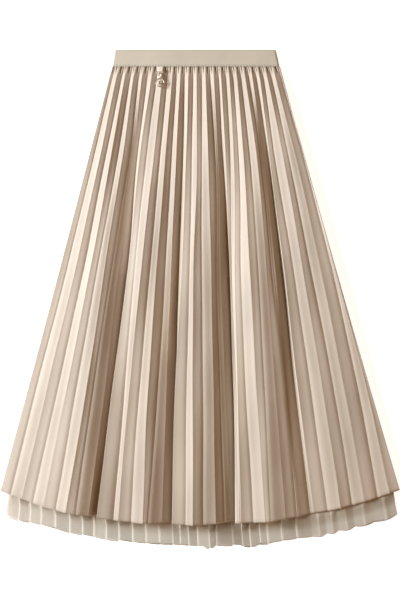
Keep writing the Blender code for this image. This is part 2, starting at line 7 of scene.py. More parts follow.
import json
import logging
import math
from dataclasses import dataclass
from enum import Enum
from typing import Iterable, Sequence

import bpy
import numpy as np
from mathutils import Matrix, Vector

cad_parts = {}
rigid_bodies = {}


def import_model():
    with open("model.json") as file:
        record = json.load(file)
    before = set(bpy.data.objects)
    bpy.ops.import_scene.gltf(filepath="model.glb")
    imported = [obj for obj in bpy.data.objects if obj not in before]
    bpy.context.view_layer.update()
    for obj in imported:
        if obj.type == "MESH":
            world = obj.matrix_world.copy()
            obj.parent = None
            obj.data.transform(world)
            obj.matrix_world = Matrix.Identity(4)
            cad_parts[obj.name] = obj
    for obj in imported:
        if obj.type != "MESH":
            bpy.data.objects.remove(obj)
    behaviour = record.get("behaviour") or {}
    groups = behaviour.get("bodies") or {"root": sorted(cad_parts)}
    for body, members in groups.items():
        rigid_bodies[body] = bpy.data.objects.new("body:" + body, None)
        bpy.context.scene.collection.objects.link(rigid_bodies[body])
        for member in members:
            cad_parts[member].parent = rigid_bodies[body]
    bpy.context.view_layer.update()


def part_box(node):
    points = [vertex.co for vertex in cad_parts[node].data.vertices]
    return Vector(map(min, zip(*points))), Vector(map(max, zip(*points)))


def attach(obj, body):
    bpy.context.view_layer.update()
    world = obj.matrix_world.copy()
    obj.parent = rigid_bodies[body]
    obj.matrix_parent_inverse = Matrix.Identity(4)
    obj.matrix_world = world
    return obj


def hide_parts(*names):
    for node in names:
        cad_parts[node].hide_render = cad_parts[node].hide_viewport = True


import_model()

Socket = bpy.types.NodeSocket
Piece = bpy.types.Object
Material = bpy.types.Material
LOG = logging.getLogger("pleated_skirt")
MM = 0.001
PHOTO_WIDTH = 401
FOCAL_PIXELS = 790.9


class Body(str, Enum):
    """The rigid bodies that pieces ride on."""

    SKIRT = "skirt"
    LINK = "link"
    CLASP = "clasp"
    RING = "ring"


class Slot(str, Enum):
    """The record's material slots."""

    SATIN = "satin"
    NET = "net"
    WAISTBAND = "waistband"
    TAB = "tab"
    METAL = "metal"


class Side(Enum):
    """Which half of the skirt a piece belongs to."""

    FRONT = 1
    BACK = -1


def smooth_step(share: np.ndarray | float) -> np.ndarray | float:
    """0 to 1 with level ends.

    Args:
        share: how far along, which may pass 0 and 1.

    Returns:
        The eased share, held between 0 and 1.
    """
    held = np.clip(share, 0.0, 1.0)
    return held * held * (3.0 - 2.0 * held)


def smooth_through(stations: Sequence[float], values: np.ndarray, at: np.ndarray) -> np.ndarray:
    """Smooth curves through rows of values, which never overshoot them.

    Args:
        stations: where the values are given, rising.
        values: one row per curve, one column per station.
        at: where the curves are read.

    Returns:
        One row per curve, one column per place in at.
    """
    x = np.asarray(stations, float)
    y = np.asarray(values, float)
    widths = np.diff(x)
    slopes = np.diff(y, axis=1) / widths
    before, after = slopes[:, :-1], slopes[:, 1:]
    product = before * after
    inner = np.where(product > 0, 2 * product / np.where(product > 0, before + after, 1.0), 0.0)
    tangents = np.concatenate([slopes[:, :1], inner, slopes[:, -1:]], axis=1)
    span = np.clip(np.searchsorted(x, at, side="right") - 1, 0, len(widths) - 1)
    t = np.clip((at - x[span]) / widths[span], 0.0, 1.0)
    start, end = y[:, span], y[:, span + 1]
    leave, arrive = tangents[:, span] * widths[span], tangents[:, span + 1] * widths[span]
    return (
        start * (1 + 2 * t) * (1 - t) ** 2
        + leave * t * (1 - t) ** 2
        + end * t * t * (3 - 2 * t)
        + arrive * t * t * (t - 1)
    )


def new_object(name: str, mesh: bpy.types.Mesh) -> Piece:
    """Links a mesh into the scene as an object at the origin.

    Args:
        name: the object's name.
        mesh: its mesh.

    Returns:
        The object.
    """
    made = bpy.data.objects.new(name, mesh)
    bpy.context.scene.collection.objects.link(made)
    return made


def mesh_from(name: str, points: np.ndarray, faces: Iterable[Sequence[int]], smooth: bool = True) -> bpy.types.Mesh:
    """A mesh from points in millimetres.

    Args:
        name: the mesh's name.
        points: one row of X, Y and Z per point, in millimetres.
        faces: the point numbers of each face.
        smooth: whether the faces are shaded smooth.

    Returns:
        The mesh, in metres.
    """
    mesh = bpy.data.meshes.new(name)
    mesh.from_pydata((np.asarray(points, float) * MM).tolist(), [], [tuple(map(int, f)) for f in faces])
    if smooth:
        mesh.shade_smooth()
    mesh.update()
    return mesh


def grid_faces(rows: int, columns: int) -> list[tuple[int, int, int, int]]:
    """Quads of a grid of points in rows, facing up when rows run down the page and columns to the right.

    Args:
        rows: how many rows of points.
        columns: how many points in a row.

    Returns:
        The quads' point numbers.
    """
    starts = [r * columns + c for r in range(rows - 1) for c in range(columns - 1)]
    return [(i, i + columns, i + columns + 1, i + 1) for i in starts]


def tube_faces(rings: int, sides: int, closes: bool = False) -> list[tuple[int, ...]]:
    """Quads between rings of points that follow one another.

    Args:
        rings: how many rings of points.
        sides: how many points in a ring.
        closes: whether the last ring joins the first. If it doesn't, both ends get a cap.

    Returns:
        The faces' point numbers.
    """
    faces: list[tuple[int, ...]] = []
    for i in range(rings if closes else rings - 1):
        here, there = i * sides, (i + 1) % rings * sides
        for k in range(sides):
            m = (k + 1) % sides
            faces.append((here + k, here + m, there + m, there + k))
    if not closes:
        last = (rings - 1) * sides
        faces += [tuple(range(sides - 1, -1, -1)), tuple(range(last, last + sides))]
    return faces


def store(mesh: bpy.types.Mesh, name: str, values: np.ndarray) -> None:
    """Stores one number per point under a name."""
    held = mesh.attributes.new(name, "FLOAT", "POINT")
    held.data.foreach_set("value", np.asarray(values, np.float32).ravel())


def store_uv(mesh: bpy.types.Mesh, across: np.ndarray, along: np.ndarray) -> None:
    """Stores a UV map, in metres of cloth, from one place per point.

    Args:
        mesh: the sheet's mesh.
        across: the place across the cloth, in millimetres.
        along: the place along it.
    """
    corners = np.empty(len(mesh.loops), int)
    mesh.loops.foreach_get("vertex_index", corners)
    layer = mesh.uv_layers.new(name="cloth")
    both = np.stack([np.ravel(across)[corners], np.ravel(along)[corners]], axis=1) * MM
    layer.data.foreach_set("uv", both.astype(np.float32).ravel())


def cloth_wall(piece: Piece, wall: float, offset: float = -1.0) -> None:
    """Gives a sheet its thickness with a Solidify modifier, inwards from the face by default.

    Args:
        piece: the sheet.
        wall: the thickness in millimetres.
        offset: -1 for inwards, 1 for outwards.
    """
    solid = piece.modifiers.new("wall", "SOLIDIFY")
    solid.thickness = wall * MM
    solid.offset = offset
    solid.use_rim = True


def settle(piece: Piece) -> Piece:
    """Turns an object and its modifiers into one plain mesh.

    Args:
        piece: the object, whose modifiers are removed.

    Returns:
        The same object, with the evaluated mesh.
    """
    graph = bpy.context.evaluated_depsgraph_get()
    graph.update()
    shown = piece.evaluated_get(graph)
    mesh = bpy.data.meshes.new_from_object(shown, preserve_all_data_layers=True, depsgraph=graph)
    piece.modifiers.clear()
    piece.data = mesh
    return piece


def declare(piece: Piece, body: Body, slot: Slot, *nodes: str) -> Piece:
    """Attaches a finished piece to the body that it rides on, and hides the CAD nodes that it stands for.

    Args:
        piece: the finished piece.
        body: the body it rides on.
        slot: its material slot; not used.
        nodes: the CAD nodes, none where it only adds to them.

    Returns:
        The same piece.
    """
    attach(piece, body.value)
    if nodes:
        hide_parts(*nodes)
    LOG.info("%s: %d faces", piece.name, len(piece.data.polygons))
    return piece


class NodeSheet:
    """A thin helper that places nodes in a tree and joins them."""

    def __init__(self, tree: bpy.types.NodeTree) -> None:
        """Keeps the tree that the nodes go into."""
        self.tree = tree

    def node(self, kind: str, **settings: object) -> bpy.types.Node:
        """Adds a node of a kind and sets its properties.

        Args:
            kind: Blender's name of the node type.
            settings: the node's properties.

        Returns:
            The node.
        """
        made = self.tree.nodes.new(kind)
        for key, value in settings.items():
            setattr(made, key, value)
        return made

    def join(self, source: Socket, target: Socket) -> None:
        """Joins an output to an input."""
        self.tree.links.new(source, target)

    def feed(self, socket: Socket, value: object) -> None:
        """Joins a socket to another, or sets its constant."""
        if isinstance(value, Socket):
            self.join(value, socket)
        else:
            socket.default_value = value

    def math(self, operation: str, *values: object, clamp: bool = False) -> Socket:
        """A Math node of one operation.

        Args:
            operation: Blender's name for it.
            values: sockets or numbers, in the node's order.
            clamp: whether the result is held between 0 and 1.

        Returns:
            The node's output.
        """
        made = self.node("ShaderNodeMath", operation=operation, use_clamp=clamp)
        for socket, value in zip(made.inputs, values):
            self.feed(socket, value)
        return made.outputs[0]

    def times(self, first: object, second: object) -> Socket:
        """The product of two sockets or numbers."""
        return self.math("MULTIPLY", first, second)

    def plus(self, first: object, second: object) -> Socket:
        """The sum of two sockets or numbers."""
        return self.math("ADD", first, second)

    def blend(self, factor: object, first: object, second: object) -> Socket:
        """Mixes two colours by a factor.

        Args:
            factor: 0 for the first, 1 for the second.
            first: a socket or colour.
            second: a socket or colour.

        Returns:
            The mixed colour.
        """
        made = self.node("ShaderNodeMix", data_type="RGBA", clamp_factor=True)
        self.feed(made.inputs[0], factor)
        self.feed(made.inputs[6], first)
        self.feed(made.inputs[7], second)
        return made.outputs[2]

    def remap(self, value: object, low: float, high: float, to_low: float = 0.0, to_high: float = 1.0) -> Socket:
        """Maps a value from one range to another, held at the ends.

        Args:
            value: the socket to map.
            low: start of its range.
            high: end of its range.
            to_low: result at low.
            to_high: result at high.

        Returns:
            The mapped value.
        """
        made = self.node("ShaderNodeMapRange", interpolation_type="SMOOTHSTEP")
        self.feed(made.inputs[0], value)
        for socket, number in zip(made.inputs[1:5], (low, high, to_low, to_high)):
            socket.default_value = number
        return made.outputs[0]

    def stretched(self, vector: object, scale: tuple[float, float, float]) -> Socket:
        """A vector scaled by a Mapping node.

        Args:
            vector: the vector's socket.
            scale: one factor for each axis.

        Returns:
            The scaled vector.
        """
        made = self.node("ShaderNodeMapping")
        made.inputs["Scale"].default_value = scale
        self.feed(made.inputs["Vector"], vector)
        return made.outputs[0]

    def mark(self, name: str) -> Socket:
        """A number that the mesh stores for each of its points, read in a material."""
        return self.node("ShaderNodeAttribute", attribute_name=name).outputs["Fac"]

    def noise(self, vector: object, scale: float, detail: float = 2.0, roughness: float = 0.5) -> Socket:
        """A noise texture's value at a place.

        Args:
            vector: the place.
            scale: the noise's scale.
            detail: its octaves.
            roughness: how much the finer ones count.

        Returns:
            The value, 0 to 1.
        """
        made = self.node("ShaderNodeTexNoise")
        self.feed(made.inputs["Vector"], vector)
        made.inputs["Scale"].default_value = scale
        made.inputs["Detail"].default_value = detail
        made.inputs["Roughness"].default_value = roughness
        return made.outputs["Fac"]


class ShaderGroups:
    """The shader effects that more than one finish uses, each built once."""

    def __init__(self) -> None:
        """Builds the groups."""
        self.weave = self._weave()
        self.mottle = self._mottle()

    @staticmethod
    def _tree(name: str, inputs: Sequence[tuple], outputs: Sequence[tuple]) -> tuple[NodeSheet, dict, dict]:
        """A new group with named sockets.

        Args:
            name: the group's name.
            inputs: name, socket type and default of each input.
            outputs: name and socket type of each output.

        Returns:
            The sheet to build on, the input sockets by name and the output sockets by name.
        """
        tree = bpy.data.node_groups.new(name, "ShaderNodeTree")
        for label, kind, default in inputs:
            socket = tree.interface.new_socket(name=label, in_out="INPUT", socket_type=kind)
            if default is not None:
                socket.default_value = default
        for label, kind in outputs:
            tree.interface.new_socket(name=label, in_out="OUTPUT", socket_type=kind)
        sheet = NodeSheet(tree)
        start = sheet.node("NodeGroupInput")
        end = sheet.node("NodeGroupOutput")
        return sheet, {s.name: s for s in start.outputs}, {s.name: s for s in end.inputs}

    def _weave(self) -> bpy.types.NodeTree:
        """Crossing threads on a UV map: a height, and a mask that is 1 on the threads and 0 in the gaps.

        Returns:
            The group's tree.
        """
        sheet, ins, outs = self._tree(
            "weave",
            [
                ("Vector", "NodeSocketVector", None),
                ("Threads", "NodeSocketFloat", 2000.0),
                ("Slant", "NodeSocketFloat", 0.0),
                ("Thread width", "NodeSocketFloat", 0.5),
            ],
            [("Height", "NodeSocketFloat"), ("Mask", "NodeSocketFloat")],
        )
        parts = sheet.node("ShaderNodeSeparateXYZ")
        sheet.join(ins["Vector"], parts.inputs[0])
        across = sheet.plus(parts.outputs[0], sheet.times(parts.outputs[1], ins["Slant"]))
        along = sheet.math("SUBTRACT", parts.outputs[1], sheet.times(parts.outputs[0], ins["Slant"]))
        waves = []
        for place in (across, along):
            turn = sheet.times(place, sheet.times(ins["Threads"], math.tau))
            wave = sheet.times(sheet.plus(sheet.math("SINE", turn), 1.0), 0.5)
            waves.append(wave)
        height = sheet.math("MAXIMUM", waves[0], waves[1])
        edge = sheet.math("SUBTRACT", 1.0, ins["Thread width"])
        mask = sheet.math("MULTIPLY", sheet.math("SUBTRACT", height, edge), 6.0, clamp=True)
        sheet.join(height, outs["Height"])
        sheet.join(mask, outs["Mask"])
        return sheet.tree

    def _mottle(self) -> bpy.types.NodeTree:
        """Soft unevenness of dye and light on cloth: a value about 0.5 that changes over the surface.

        Returns:
            The group's tree.
        """
        sheet, ins, outs = self._tree(
            "mottle",
            [("Vector", "NodeSocketVector", None), ("Scale", "NodeSocketFloat", 12.0)],
            [("Value", "NodeSocketFloat")],
        )
        broad = sheet.node("ShaderNodeTexNoise")
        broad.inputs["Detail"].default_value = 3.0
        sheet.join(sheet.stretched(ins["Vector"], (1.0, 0.35, 1.0)), broad.inputs["Vector"])
        sheet.join(ins["Scale"], broad.inputs["Scale"])
        sheet.join(broad.outputs["Fac"], outs["Value"])
        return sheet.tree

    @staticmethod
    def use(sheet: NodeSheet, group: bpy.types.NodeTree, **values: object) -> dict[str, Socket]:
        """Places a group in a material.

        Args:
            sheet: the material's sheet.
            group: the group's tree.
            values: sockets or numbers for its inputs, with _ for a space.

        Returns:
            The group's outputs by name.
        """
        made = sheet.node("ShaderNodeGroup")
        made.node_tree = group
        for key, value in values.items():
            sheet.feed(made.inputs[key.replace("_", " ")], value)
        return {s.name: s for s in made.outputs}


@dataclass(frozen=True)
class Finish:
    """What every finish has: a name, a base colour and a roughness."""

    name: str
    colour: tuple[float, float, float]
    roughness: float

    def start(self) -> tuple[Material, NodeSheet, bpy.types.Node]:
        """A new material with a Principled shader.

        Returns:
            The material, a sheet on its tree and the shader.
        """
        made = bpy.data.materials.new(self.name)
        made.use_nodes = True
        made.diffuse_color = (*self.colour, 1.0)
        shader = made.node_tree.nodes["Principled BSDF"]
        shader.inputs["Base Color"].default_value = (*self.colour, 1.0)
        shader.inputs["Roughness"].default_value = self.roughness
        return made, NodeSheet(made.node_tree), shader

    def tint(self, amount: float) -> tuple[float, float, float, float]:
        """The base colour scaled by an amount, as four numbers."""
        red, green, blue = (min(1.0, c * amount) for c in self.colour)
        return red, green, blue, 1.0

    @staticmethod
    def bump(sheet: NodeSheet, shader: bpy.types.Node, height: Socket, depth_mm: float) -> None:
        """Feeds a height to the shader's normal, with the depth of the relief in millimetres.

        Args:
            sheet: the material's sheet.
            shader: its Principled shader.
            height: the relief.
            depth_mm: how deep a height of 1 is.
        """
        made = sheet.node("ShaderNodeBump")
        made.inputs["Strength"].default_value = 1.0
        made.inputs["Distance"].default_value = depth_mm * MM
        sheet.join(height, made.inputs["Height"])
        sheet.join(made.outputs[0], shader.inputs["Normal"])


@dataclass(frozen=True)
class SatinFinish(Finish):
    """Matte pressed satin: fine twill, soft sheen and a turned, stitched hem.

    Its colour has painted light: a highlight along the crests and the hem's edge, and shade in the pleats' hollows
    and along the hem's turning line.
    """

    threads_per_metre: float = 2600.0
    relief_mm: float = 0.05
    mottle_scale: float = 9.0
    # Gain of the painted highlight along the crests.
    crest_highlight_gain: float = 1.25
    # Colour and range of the painted shade in the pleats' hollows and valleys.
    painted_shade_colour: tuple[float, float, float] = (0.26, 0.17, 0.108)
    painted_shade_range: tuple[float, float] = (0.085, 0.34)
    hem_turning_mm: float = 5.0

    def build(self, groups: ShaderGroups) -> Material:
        """The material, on the piece's UV map and its crest and hem attributes.

        Args:
            groups: the shared shader groups.

        Returns:
            The material.
        """
        made, sheet, shader = self.start()
        uv = sheet.node("ShaderNodeUVMap", uv_map="cloth").outputs[0]
        weave = groups.use(sheet, groups.weave, Vector=uv, Threads=self.threads_per_metre, Slant=0.35)
        mottle = groups.use(sheet, groups.mottle, Vector=uv, Scale=self.mottle_scale)["Value"]
        crest = sheet.mark("crest")
        to_hem = sheet.mark("to_hem")
        cloth = sheet.blend(sheet.remap(mottle, 0.3, 0.7), self.tint(0.93), self.tint(1.05))
        threads = sheet.times(weave["Height"], 0.08)
        cloth = sheet.blend(threads, cloth, self.tint(0.7))
        # Painted highlight along the crests, where the pleats' pressed edges catch the light.
        painted_crest_highlight = sheet.times(sheet.remap(crest, 0.35, 1.0), 0.55)
        cloth = sheet.blend(painted_crest_highlight, cloth, self.tint(self.crest_highlight_gain))
        # Painted shade in the pleats' hollows and valleys, where the neighbouring pleats hide the light.
        painted_shade = sheet.remap(sheet.mark("painted_shade"), *self.painted_shade_range)
        cloth = sheet.blend(painted_shade, cloth, (*self.painted_shade_colour, 1.0))
        # A groove along the hem's turning line, with painted shade along it.
        off = sheet.math("ABSOLUTE", sheet.math("SUBTRACT", to_hem, self.hem_turning_mm))
        line = sheet.remap(off, 0.0, 0.8, 0.3, 0.0)
        cloth = sheet.blend(line, cloth, self.tint(0.6))
        # Painted highlight along the hem's very edge.
        cloth = sheet.blend(sheet.remap(to_hem, 1.0, 2.6, 0.5, 0.0), cloth, self.tint(1.2))
        sheet.join(cloth, shader.inputs["Base Color"])
        rough = sheet.remap(mottle, 0.3, 0.7, self.roughness - 0.05, self.roughness + 0.05)
        sheet.join(rough, shader.inputs["Roughness"])
        shader.inputs["Specular IOR Level"].default_value = 0.35
        shader.inputs["Sheen Weight"].default_value = 0.12
        shader.inputs["Sheen Roughness"].default_value = 0.4
        groove = sheet.times(line, -4.0)
        self.bump(sheet, shader, sheet.plus(weave["Height"], groove), self.relief_mm)
        return made


@dataclass(frozen=True)
class NetFinish(Finish):
    """Fine soft net: crossing threads with open gaps, denser along its folds.

    Its colour has painted shade under and just below the satin hem, and in the middle recess.
    """

    threads_per_metre: float = 900.0
    gap_alpha: float = 0.42
    thread_alpha: float = 0.75
    fold_alpha: float = 0.35
    tone_alpha: float = 0.22
    thin_alpha: float = 0.2
    # Colour of the painted shade under and just below the satin hem.
    under_satin_shade_colour: tuple[float, float, float] = (0.50, 0.42, 0.34)
    thin_colour: tuple[float, float, float] = (0.86, 0.78, 0.71)
    shaded_colour: tuple[float, float, float] = (0.36, 0.28, 0.22)
    edge_colour: tuple[float, float, float] = (0.66, 0.635, 0.585)

    def build(self, groups: ShaderGroups) -> Material:
        """The material, see-through between its threads.

        Args:
            groups: the shared shader groups.

        Returns:
            The material.
        """
        made, sheet, shader = self.start()
        uv = sheet.node("ShaderNodeUVMap", uv_map="cloth").outputs[0]
        weave = groups.use(sheet, groups.weave, Vector=uv, Threads=self.threads_per_metre, Slant=0.6,
                           Thread_width=0.35)
        mottle = groups.use(sheet, groups.mottle, Vector=uv, Scale=14.0)["Value"]
        fold = sheet.mark("fold")
        hem = sheet.mark("to_hem")
        tone = sheet.mark("tone")
        thin = sheet.mark("thin")
        uneven = sheet.times(sheet.plus(mottle, tone), 0.5)
        cloth = sheet.blend(uneven, self.tint(0.84), self.tint(1.08))
        # Painted shade under and just below the satin hem, fading towards the cut edge.
        cloth = sheet.blend(sheet.remap(hem, 8.0, 40.0, 0.0, 0.55), cloth, (*self.under_satin_shade_colour, 1.0))
        cloth = sheet.blend(sheet.remap(hem, 2.0, 30.0, 0.55, 0.0), cloth, (*self.edge_colour, 1.0))
        cloth = sheet.blend(sheet.times(fold, 0.35), cloth, self.tint(1.2))
        cloth = sheet.blend(sheet.times(thin, 0.5), cloth, (*self.thin_colour, 1.0))
        shaded = sheet.times(sheet.mark("shaded"), 0.42)
        cloth = sheet.blend(shaded, cloth, (*self.shaded_colour, 1.0))
        sheet.join(cloth, shader.inputs["Base Color"])
        share = sheet.times(weave["Mask"], self.thread_alpha - self.gap_alpha)
        share = sheet.plus(share, self.gap_alpha)
        share = sheet.plus(share, sheet.times(fold, self.fold_alpha))
        share = sheet.plus(share, sheet.times(tone, self.tone_alpha))
        share = sheet.math("SUBTRACT", share, sheet.times(thin, self.thin_alpha))
        edge = sheet.remap(hem, 0.0, 1.6, 0.2, 0.0)
        sheet.join(sheet.math("ADD", share, edge, clamp=True), shader.inputs["Alpha"])
        shader.inputs["Specular IOR Level"].default_value = 0.2
        self.bump(sheet, shader, weave["Height"], 0.05)
        return made


@dataclass(frozen=True)
class BandFinish(Finish):
    """Covered elastic: fine cross ribs and small gathers under smooth satin.

    Its colour has painted shade along its top edge, at its side folds and in the gathers along the seam.
    """

    ribs_per_metre: float = 900.0
    relief_mm: float = 0.09
    height_mm: float = 30.0
    gather_pitch_mm: float = 5.2
    gather_reach_mm: float = 5.5
    # Colours of the painted shade along the top edge and at the side folds.
    top_edge_shade_colour: tuple[float, float, float] = (0.42, 0.42, 0.33)
    side_fold_shade_colour: tuple[float, float, float] = (0.42, 0.40, 0.31)

    def build(self, groups: ShaderGroups) -> Material:
        """The material, with its ribs along the band's UV map.

        Args:
            groups: the shared shader groups.

        Returns:
            The material.
        """
        made, sheet, shader = self.start()
        uv = sheet.node("ShaderNodeUVMap", uv_map="cloth").outputs[0]
        weave = groups.use(sheet, groups.weave, Vector=uv, Threads=2400.0, Slant=0.0)
        mottle = groups.use(sheet, groups.mottle, Vector=uv, Scale=16.0)["Value"]
        parts = sheet.node("ShaderNodeSeparateXYZ")
        sheet.join(uv, parts.inputs[0])
        rib = sheet.math("SINE", sheet.times(parts.outputs[1], self.ribs_per_metre * math.tau))
        pucker = sheet.noise(sheet.stretched(uv, (1.0, 0.12, 1.0)), 260.0, 1.0)
        cloth = sheet.blend(sheet.remap(mottle, 0.3, 0.7), self.tint(0.95), self.tint(1.04))
        cloth = sheet.blend(sheet.times(weave["Height"], 0.1), cloth, self.tint(0.7))
        height = sheet.math("DIVIDE", parts.outputs[1], MM)
        slanted = sheet.plus(sheet.math("DIVIDE", parts.outputs[0], MM), sheet.times(height, 0.5))
        gather = sheet.math("SINE", sheet.times(slanted, math.tau / self.gather_pitch_mm))
        gather = sheet.times(sheet.plus(gather, 1.0), 0.5)
        gather_depth_and_shade = sheet.times(gather, sheet.remap(height, 1.5, self.gather_reach_mm, 1.0, 0.0))
        # Painted shade in the small gathers along the seam, which also dent the relief below.
        cloth = sheet.blend(sheet.times(gather_depth_and_shade, 0.75), cloth, self.tint(0.6))
        # Painted shade along the band's rounded top edge.
        turned = sheet.remap(sheet.math("SUBTRACT", self.height_mm, height), 1.4, 3.0, 0.85, 0.0)
        cloth = sheet.blend(turned, cloth, (*self.top_edge_shade_colour, 1.0))
        # Painted shade where the band turns down at its side folds.
        side = sheet.times(sheet.mark("side_fold_shade"), 0.45)
        cloth = sheet.blend(side, cloth, (*self.side_fold_shade_colour, 1.0))
        sheet.join(cloth, shader.inputs["Base Color"])
        shader.inputs["Specular IOR Level"].default_value = 0.35
        shader.inputs["Sheen Weight"].default_value = 0.1
        relief = sheet.plus(sheet.times(rib, 0.25), sheet.times(pucker, 1.6))
        relief = sheet.plus(relief, sheet.times(weave["Height"], 0.4))
        relief = sheet.plus(relief, sheet.times(gather_depth_and_shade, -3.0))
        self.bump(sheet, shader, relief, self.relief_mm)
        return made


@dataclass(frozen=True)
class RibbonFinish(Finish):
    """Narrow satin ribbon with close ribs."""

    ribs_per_metre: float = 1800.0

    def build(self, groups: ShaderGroups) -> Material:
        """The material, its weave on object coordinates.

        Args:
            groups: the shared shader groups.

        Returns:
            The material.
        """
        made, sheet, shader = self.start()
        place = sheet.node("ShaderNodeTexCoord").outputs["Object"]
        weave = groups.use(sheet, groups.weave, Vector=place, Threads=self.ribs_per_metre, Slant=0.0)
        mottle = groups.use(sheet, groups.mottle, Vector=place, Scale=120.0)["Value"]
        cloth = sheet.blend(mottle, self.tint(0.92), self.tint(1.05))
        sheet.join(cloth, shader.inputs["Base Color"])
        shader.inputs["Sheen Weight"].default_value = 0.15
        self.bump(sheet, shader, weave["Height"], 0.05)
        return made


@dataclass(frozen=True)
class ThreadFinish(Finish):
    """Sewing thread: two plies twisted together."""

    def build(self, groups: ShaderGroups) -> Material:
        """The material, its twist on object coordinates.

        Args:
            groups: the shared shader groups.

        Returns:
            The material.
        """
        made, sheet, shader = self.start()
        place = sheet.node("ShaderNodeTexCoord").outputs["Object"]
        twist = groups.use(sheet, groups.weave, Vector=place, Threads=3500.0, Slant=1.0)
        cloth = sheet.blend(twist["Height"], self.tint(0.8), self.tint(1.0))
        sheet.join(cloth, shader.inputs["Base Color"])
        self.bump(sheet, shader, twist["Height"], 0.05)
        return made


@dataclass(frozen=True)
class MetalFinish(Finish):
    """Pale gold plate with a soft polish and faint handling marks."""

    def build(self, groups: ShaderGroups) -> Material:
        """The material, its marks on object coordinates.

        Args:
            groups: the shared shader groups.

        Returns:
            The material.
        """
        made, sheet, shader = self.start()
        place = sheet.node("ShaderNodeTexCoord").outputs["Object"]
        marks = sheet.noise(place, 900.0, 3.0, 0.6)
        mottle = groups.use(sheet, groups.mottle, Vector=place, Scale=300.0)["Value"]
        tone = sheet.blend(mottle, self.tint(0.92), self.tint(1.04))
        sheet.join(tone, shader.inputs["Base Color"])
        sheet.join(sheet.remap(marks, 0.35, 0.7, self.roughness - 0.06, self.roughness + 0.1),
                   shader.inputs["Roughness"])
        shader.inputs["Metallic"].default_value = 1.0
        self.bump(sheet, shader, marks, 0.01)
        return made


@dataclass(frozen=True)
class FloorFinish(Finish):
    """A pale light table: smooth white paper, lit from below."""

    glow: float = 0.8

    def build(self, groups: ShaderGroups) -> Material:
        """The material, with the paper's faint unevenness.

        Args:
            groups: the shared shader groups.

        Returns:
            The material.
        """
        made, sheet, shader = self.start()
        place = sheet.node("ShaderNodeTexCoord").outputs["Object"]
        mottle = groups.use(sheet, groups.mottle, Vector=place, Scale=3.0)["Value"]
        tone = sheet.blend(mottle, self.tint(0.99), self.tint(1.0))
        sheet.join(tone, shader.inputs["Base Color"])
        shader.inputs["Specular IOR Level"].default_value = 0.1
        shader.inputs["Emission Color"].default_value = (1.0, 1.0, 1.0, 1.0)
        shader.inputs["Emission Strength"].default_value = self.glow
        return made


@dataclass(frozen=True)
class Outline:
    """The skirt's outline as it lies, in millimetres from the seam's line and the middle of the hem."""

    band_top_left: float = -151.0
    band_top_right: float = 133.0
    seam_left: float = -156.0
    seam_right: float = 139.5
    hem_left: float = -350.0
    hem_right: float = 350.0
    side_bow: float = 2.4
    crease_margins: tuple[tuple[float, float], tuple[float, float]] = ((2.5, 1.0), (3.0, 3.0))
    seen_from: float = 1400.0
    seen_at: float = 16.0
    band_height: float = 30.0
    side_depth: float = 744.0
    centre_depth: float = 800.0
    hem_arc_power: float = 2.3
    net_side_depth: float = 790.0
    net_centre_depth: float = 845.0
    net_arc_power: float = 2.1
    opening_depth: float = 160.0

    @property
    def seam_y(self) -> float:
        """Y of the waistband's seam in the frame, where the CAD's satin ends."""
        return float(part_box("satin_front")[1][1]) / MM

    def hem_depth(self, place: np.ndarray) -> np.ndarray:
        """Depth of the satin hem, at a place from 0 at the left side to 1 at the right."""
        rise = self.centre_depth - self.side_depth
        return self.centre_depth - rise * np.abs(2 * place - 1) ** self.hem_arc_power

    def net_hem_depth(self, place: np.ndarray) -> np.ndarray:
        """Depth of the net's hem at a place."""
        rise = self.net_centre_depth - self.net_side_depth
        return self.net_centre_depth - rise * np.abs(2 * place - 1) ** self.net_arc_power

    def sides(self, depth: np.ndarray) -> tuple[np.ndarray, np.ndarray]:
        """X of the left and right sides at a depth: nearly straight, and bowed in a little half way down.

        Args:
            depth: distance below the seam.

        Returns:
            X of the left side and of the right side.
        """
        share = depth / self.side_depth
        bow = self.side_bow * np.sin(math.pi * np.clip(share, 0.0, 1.0))
        left = self.seam_left + (self.hem_left - self.seam_left) * share
        return left + bow, self.seam_right + (self.hem_right - self.seam_right) * share - bow

    def band_sides(self, height: float) -> tuple[float, float]:
        """X of the waistband's left and right sides at a height above the seam.

        Args:
            height: height above the seam.

        Returns:
            X of the left side and of the right side.
        """
        share = 1 - height / self.band_height
        left = self.band_top_left + (self.seam_left - self.band_top_left) * share
        return left, self.band_top_right + (self.seam_right - self.band_top_right) * share

    def seen_place(self, place: np.ndarray, depth: np.ndarray, height: np.ndarray) -> np.ndarray:
        """X of a crease that looks to be at a place from the camera straight above.

        Args:
            place: 0 to 1 between straight lines that run inside the sides by crease_margins, left and right, at the
                seam and at the hem.
            depth: distance below the seam.
            height: how high the crease lies, which moves it outwards in the camera's eye.

        Returns:
            X in millimetres.
        """
        at_seam, at_hem = self.crease_margins
        share = depth / self.side_depth
        left = (self.seam_left + at_seam[0]) * (1 - share) + (self.hem_left + at_hem[0]) * share
        right = (self.seam_right - at_seam[1]) * (1 - share) + (self.hem_right - at_hem[1]) * share
        level = left + place * (right - left)
        return level * (self.seen_from - height) / (self.seen_from - self.seen_at)

    def opened(self, depth: np.ndarray) -> np.ndarray:
        """How far the pleats have opened out of the seam, 0 to 1."""
        return smooth_step(depth / self.opening_depth)


@dataclass(frozen=True)
class Fold:
    """One pleat of the front: the valley on its left, and its crest.

    Places are in per cent of the width at SatinFront.place_levels. Heights are in millimetres above the floor, at
    the hip, half way down and at the hem.
    """

    valley: tuple[float, ...]
    crest: tuple[float, ...]
    valley_height: tuple[float, float, float]
    crest_height: tuple[float, float, float]


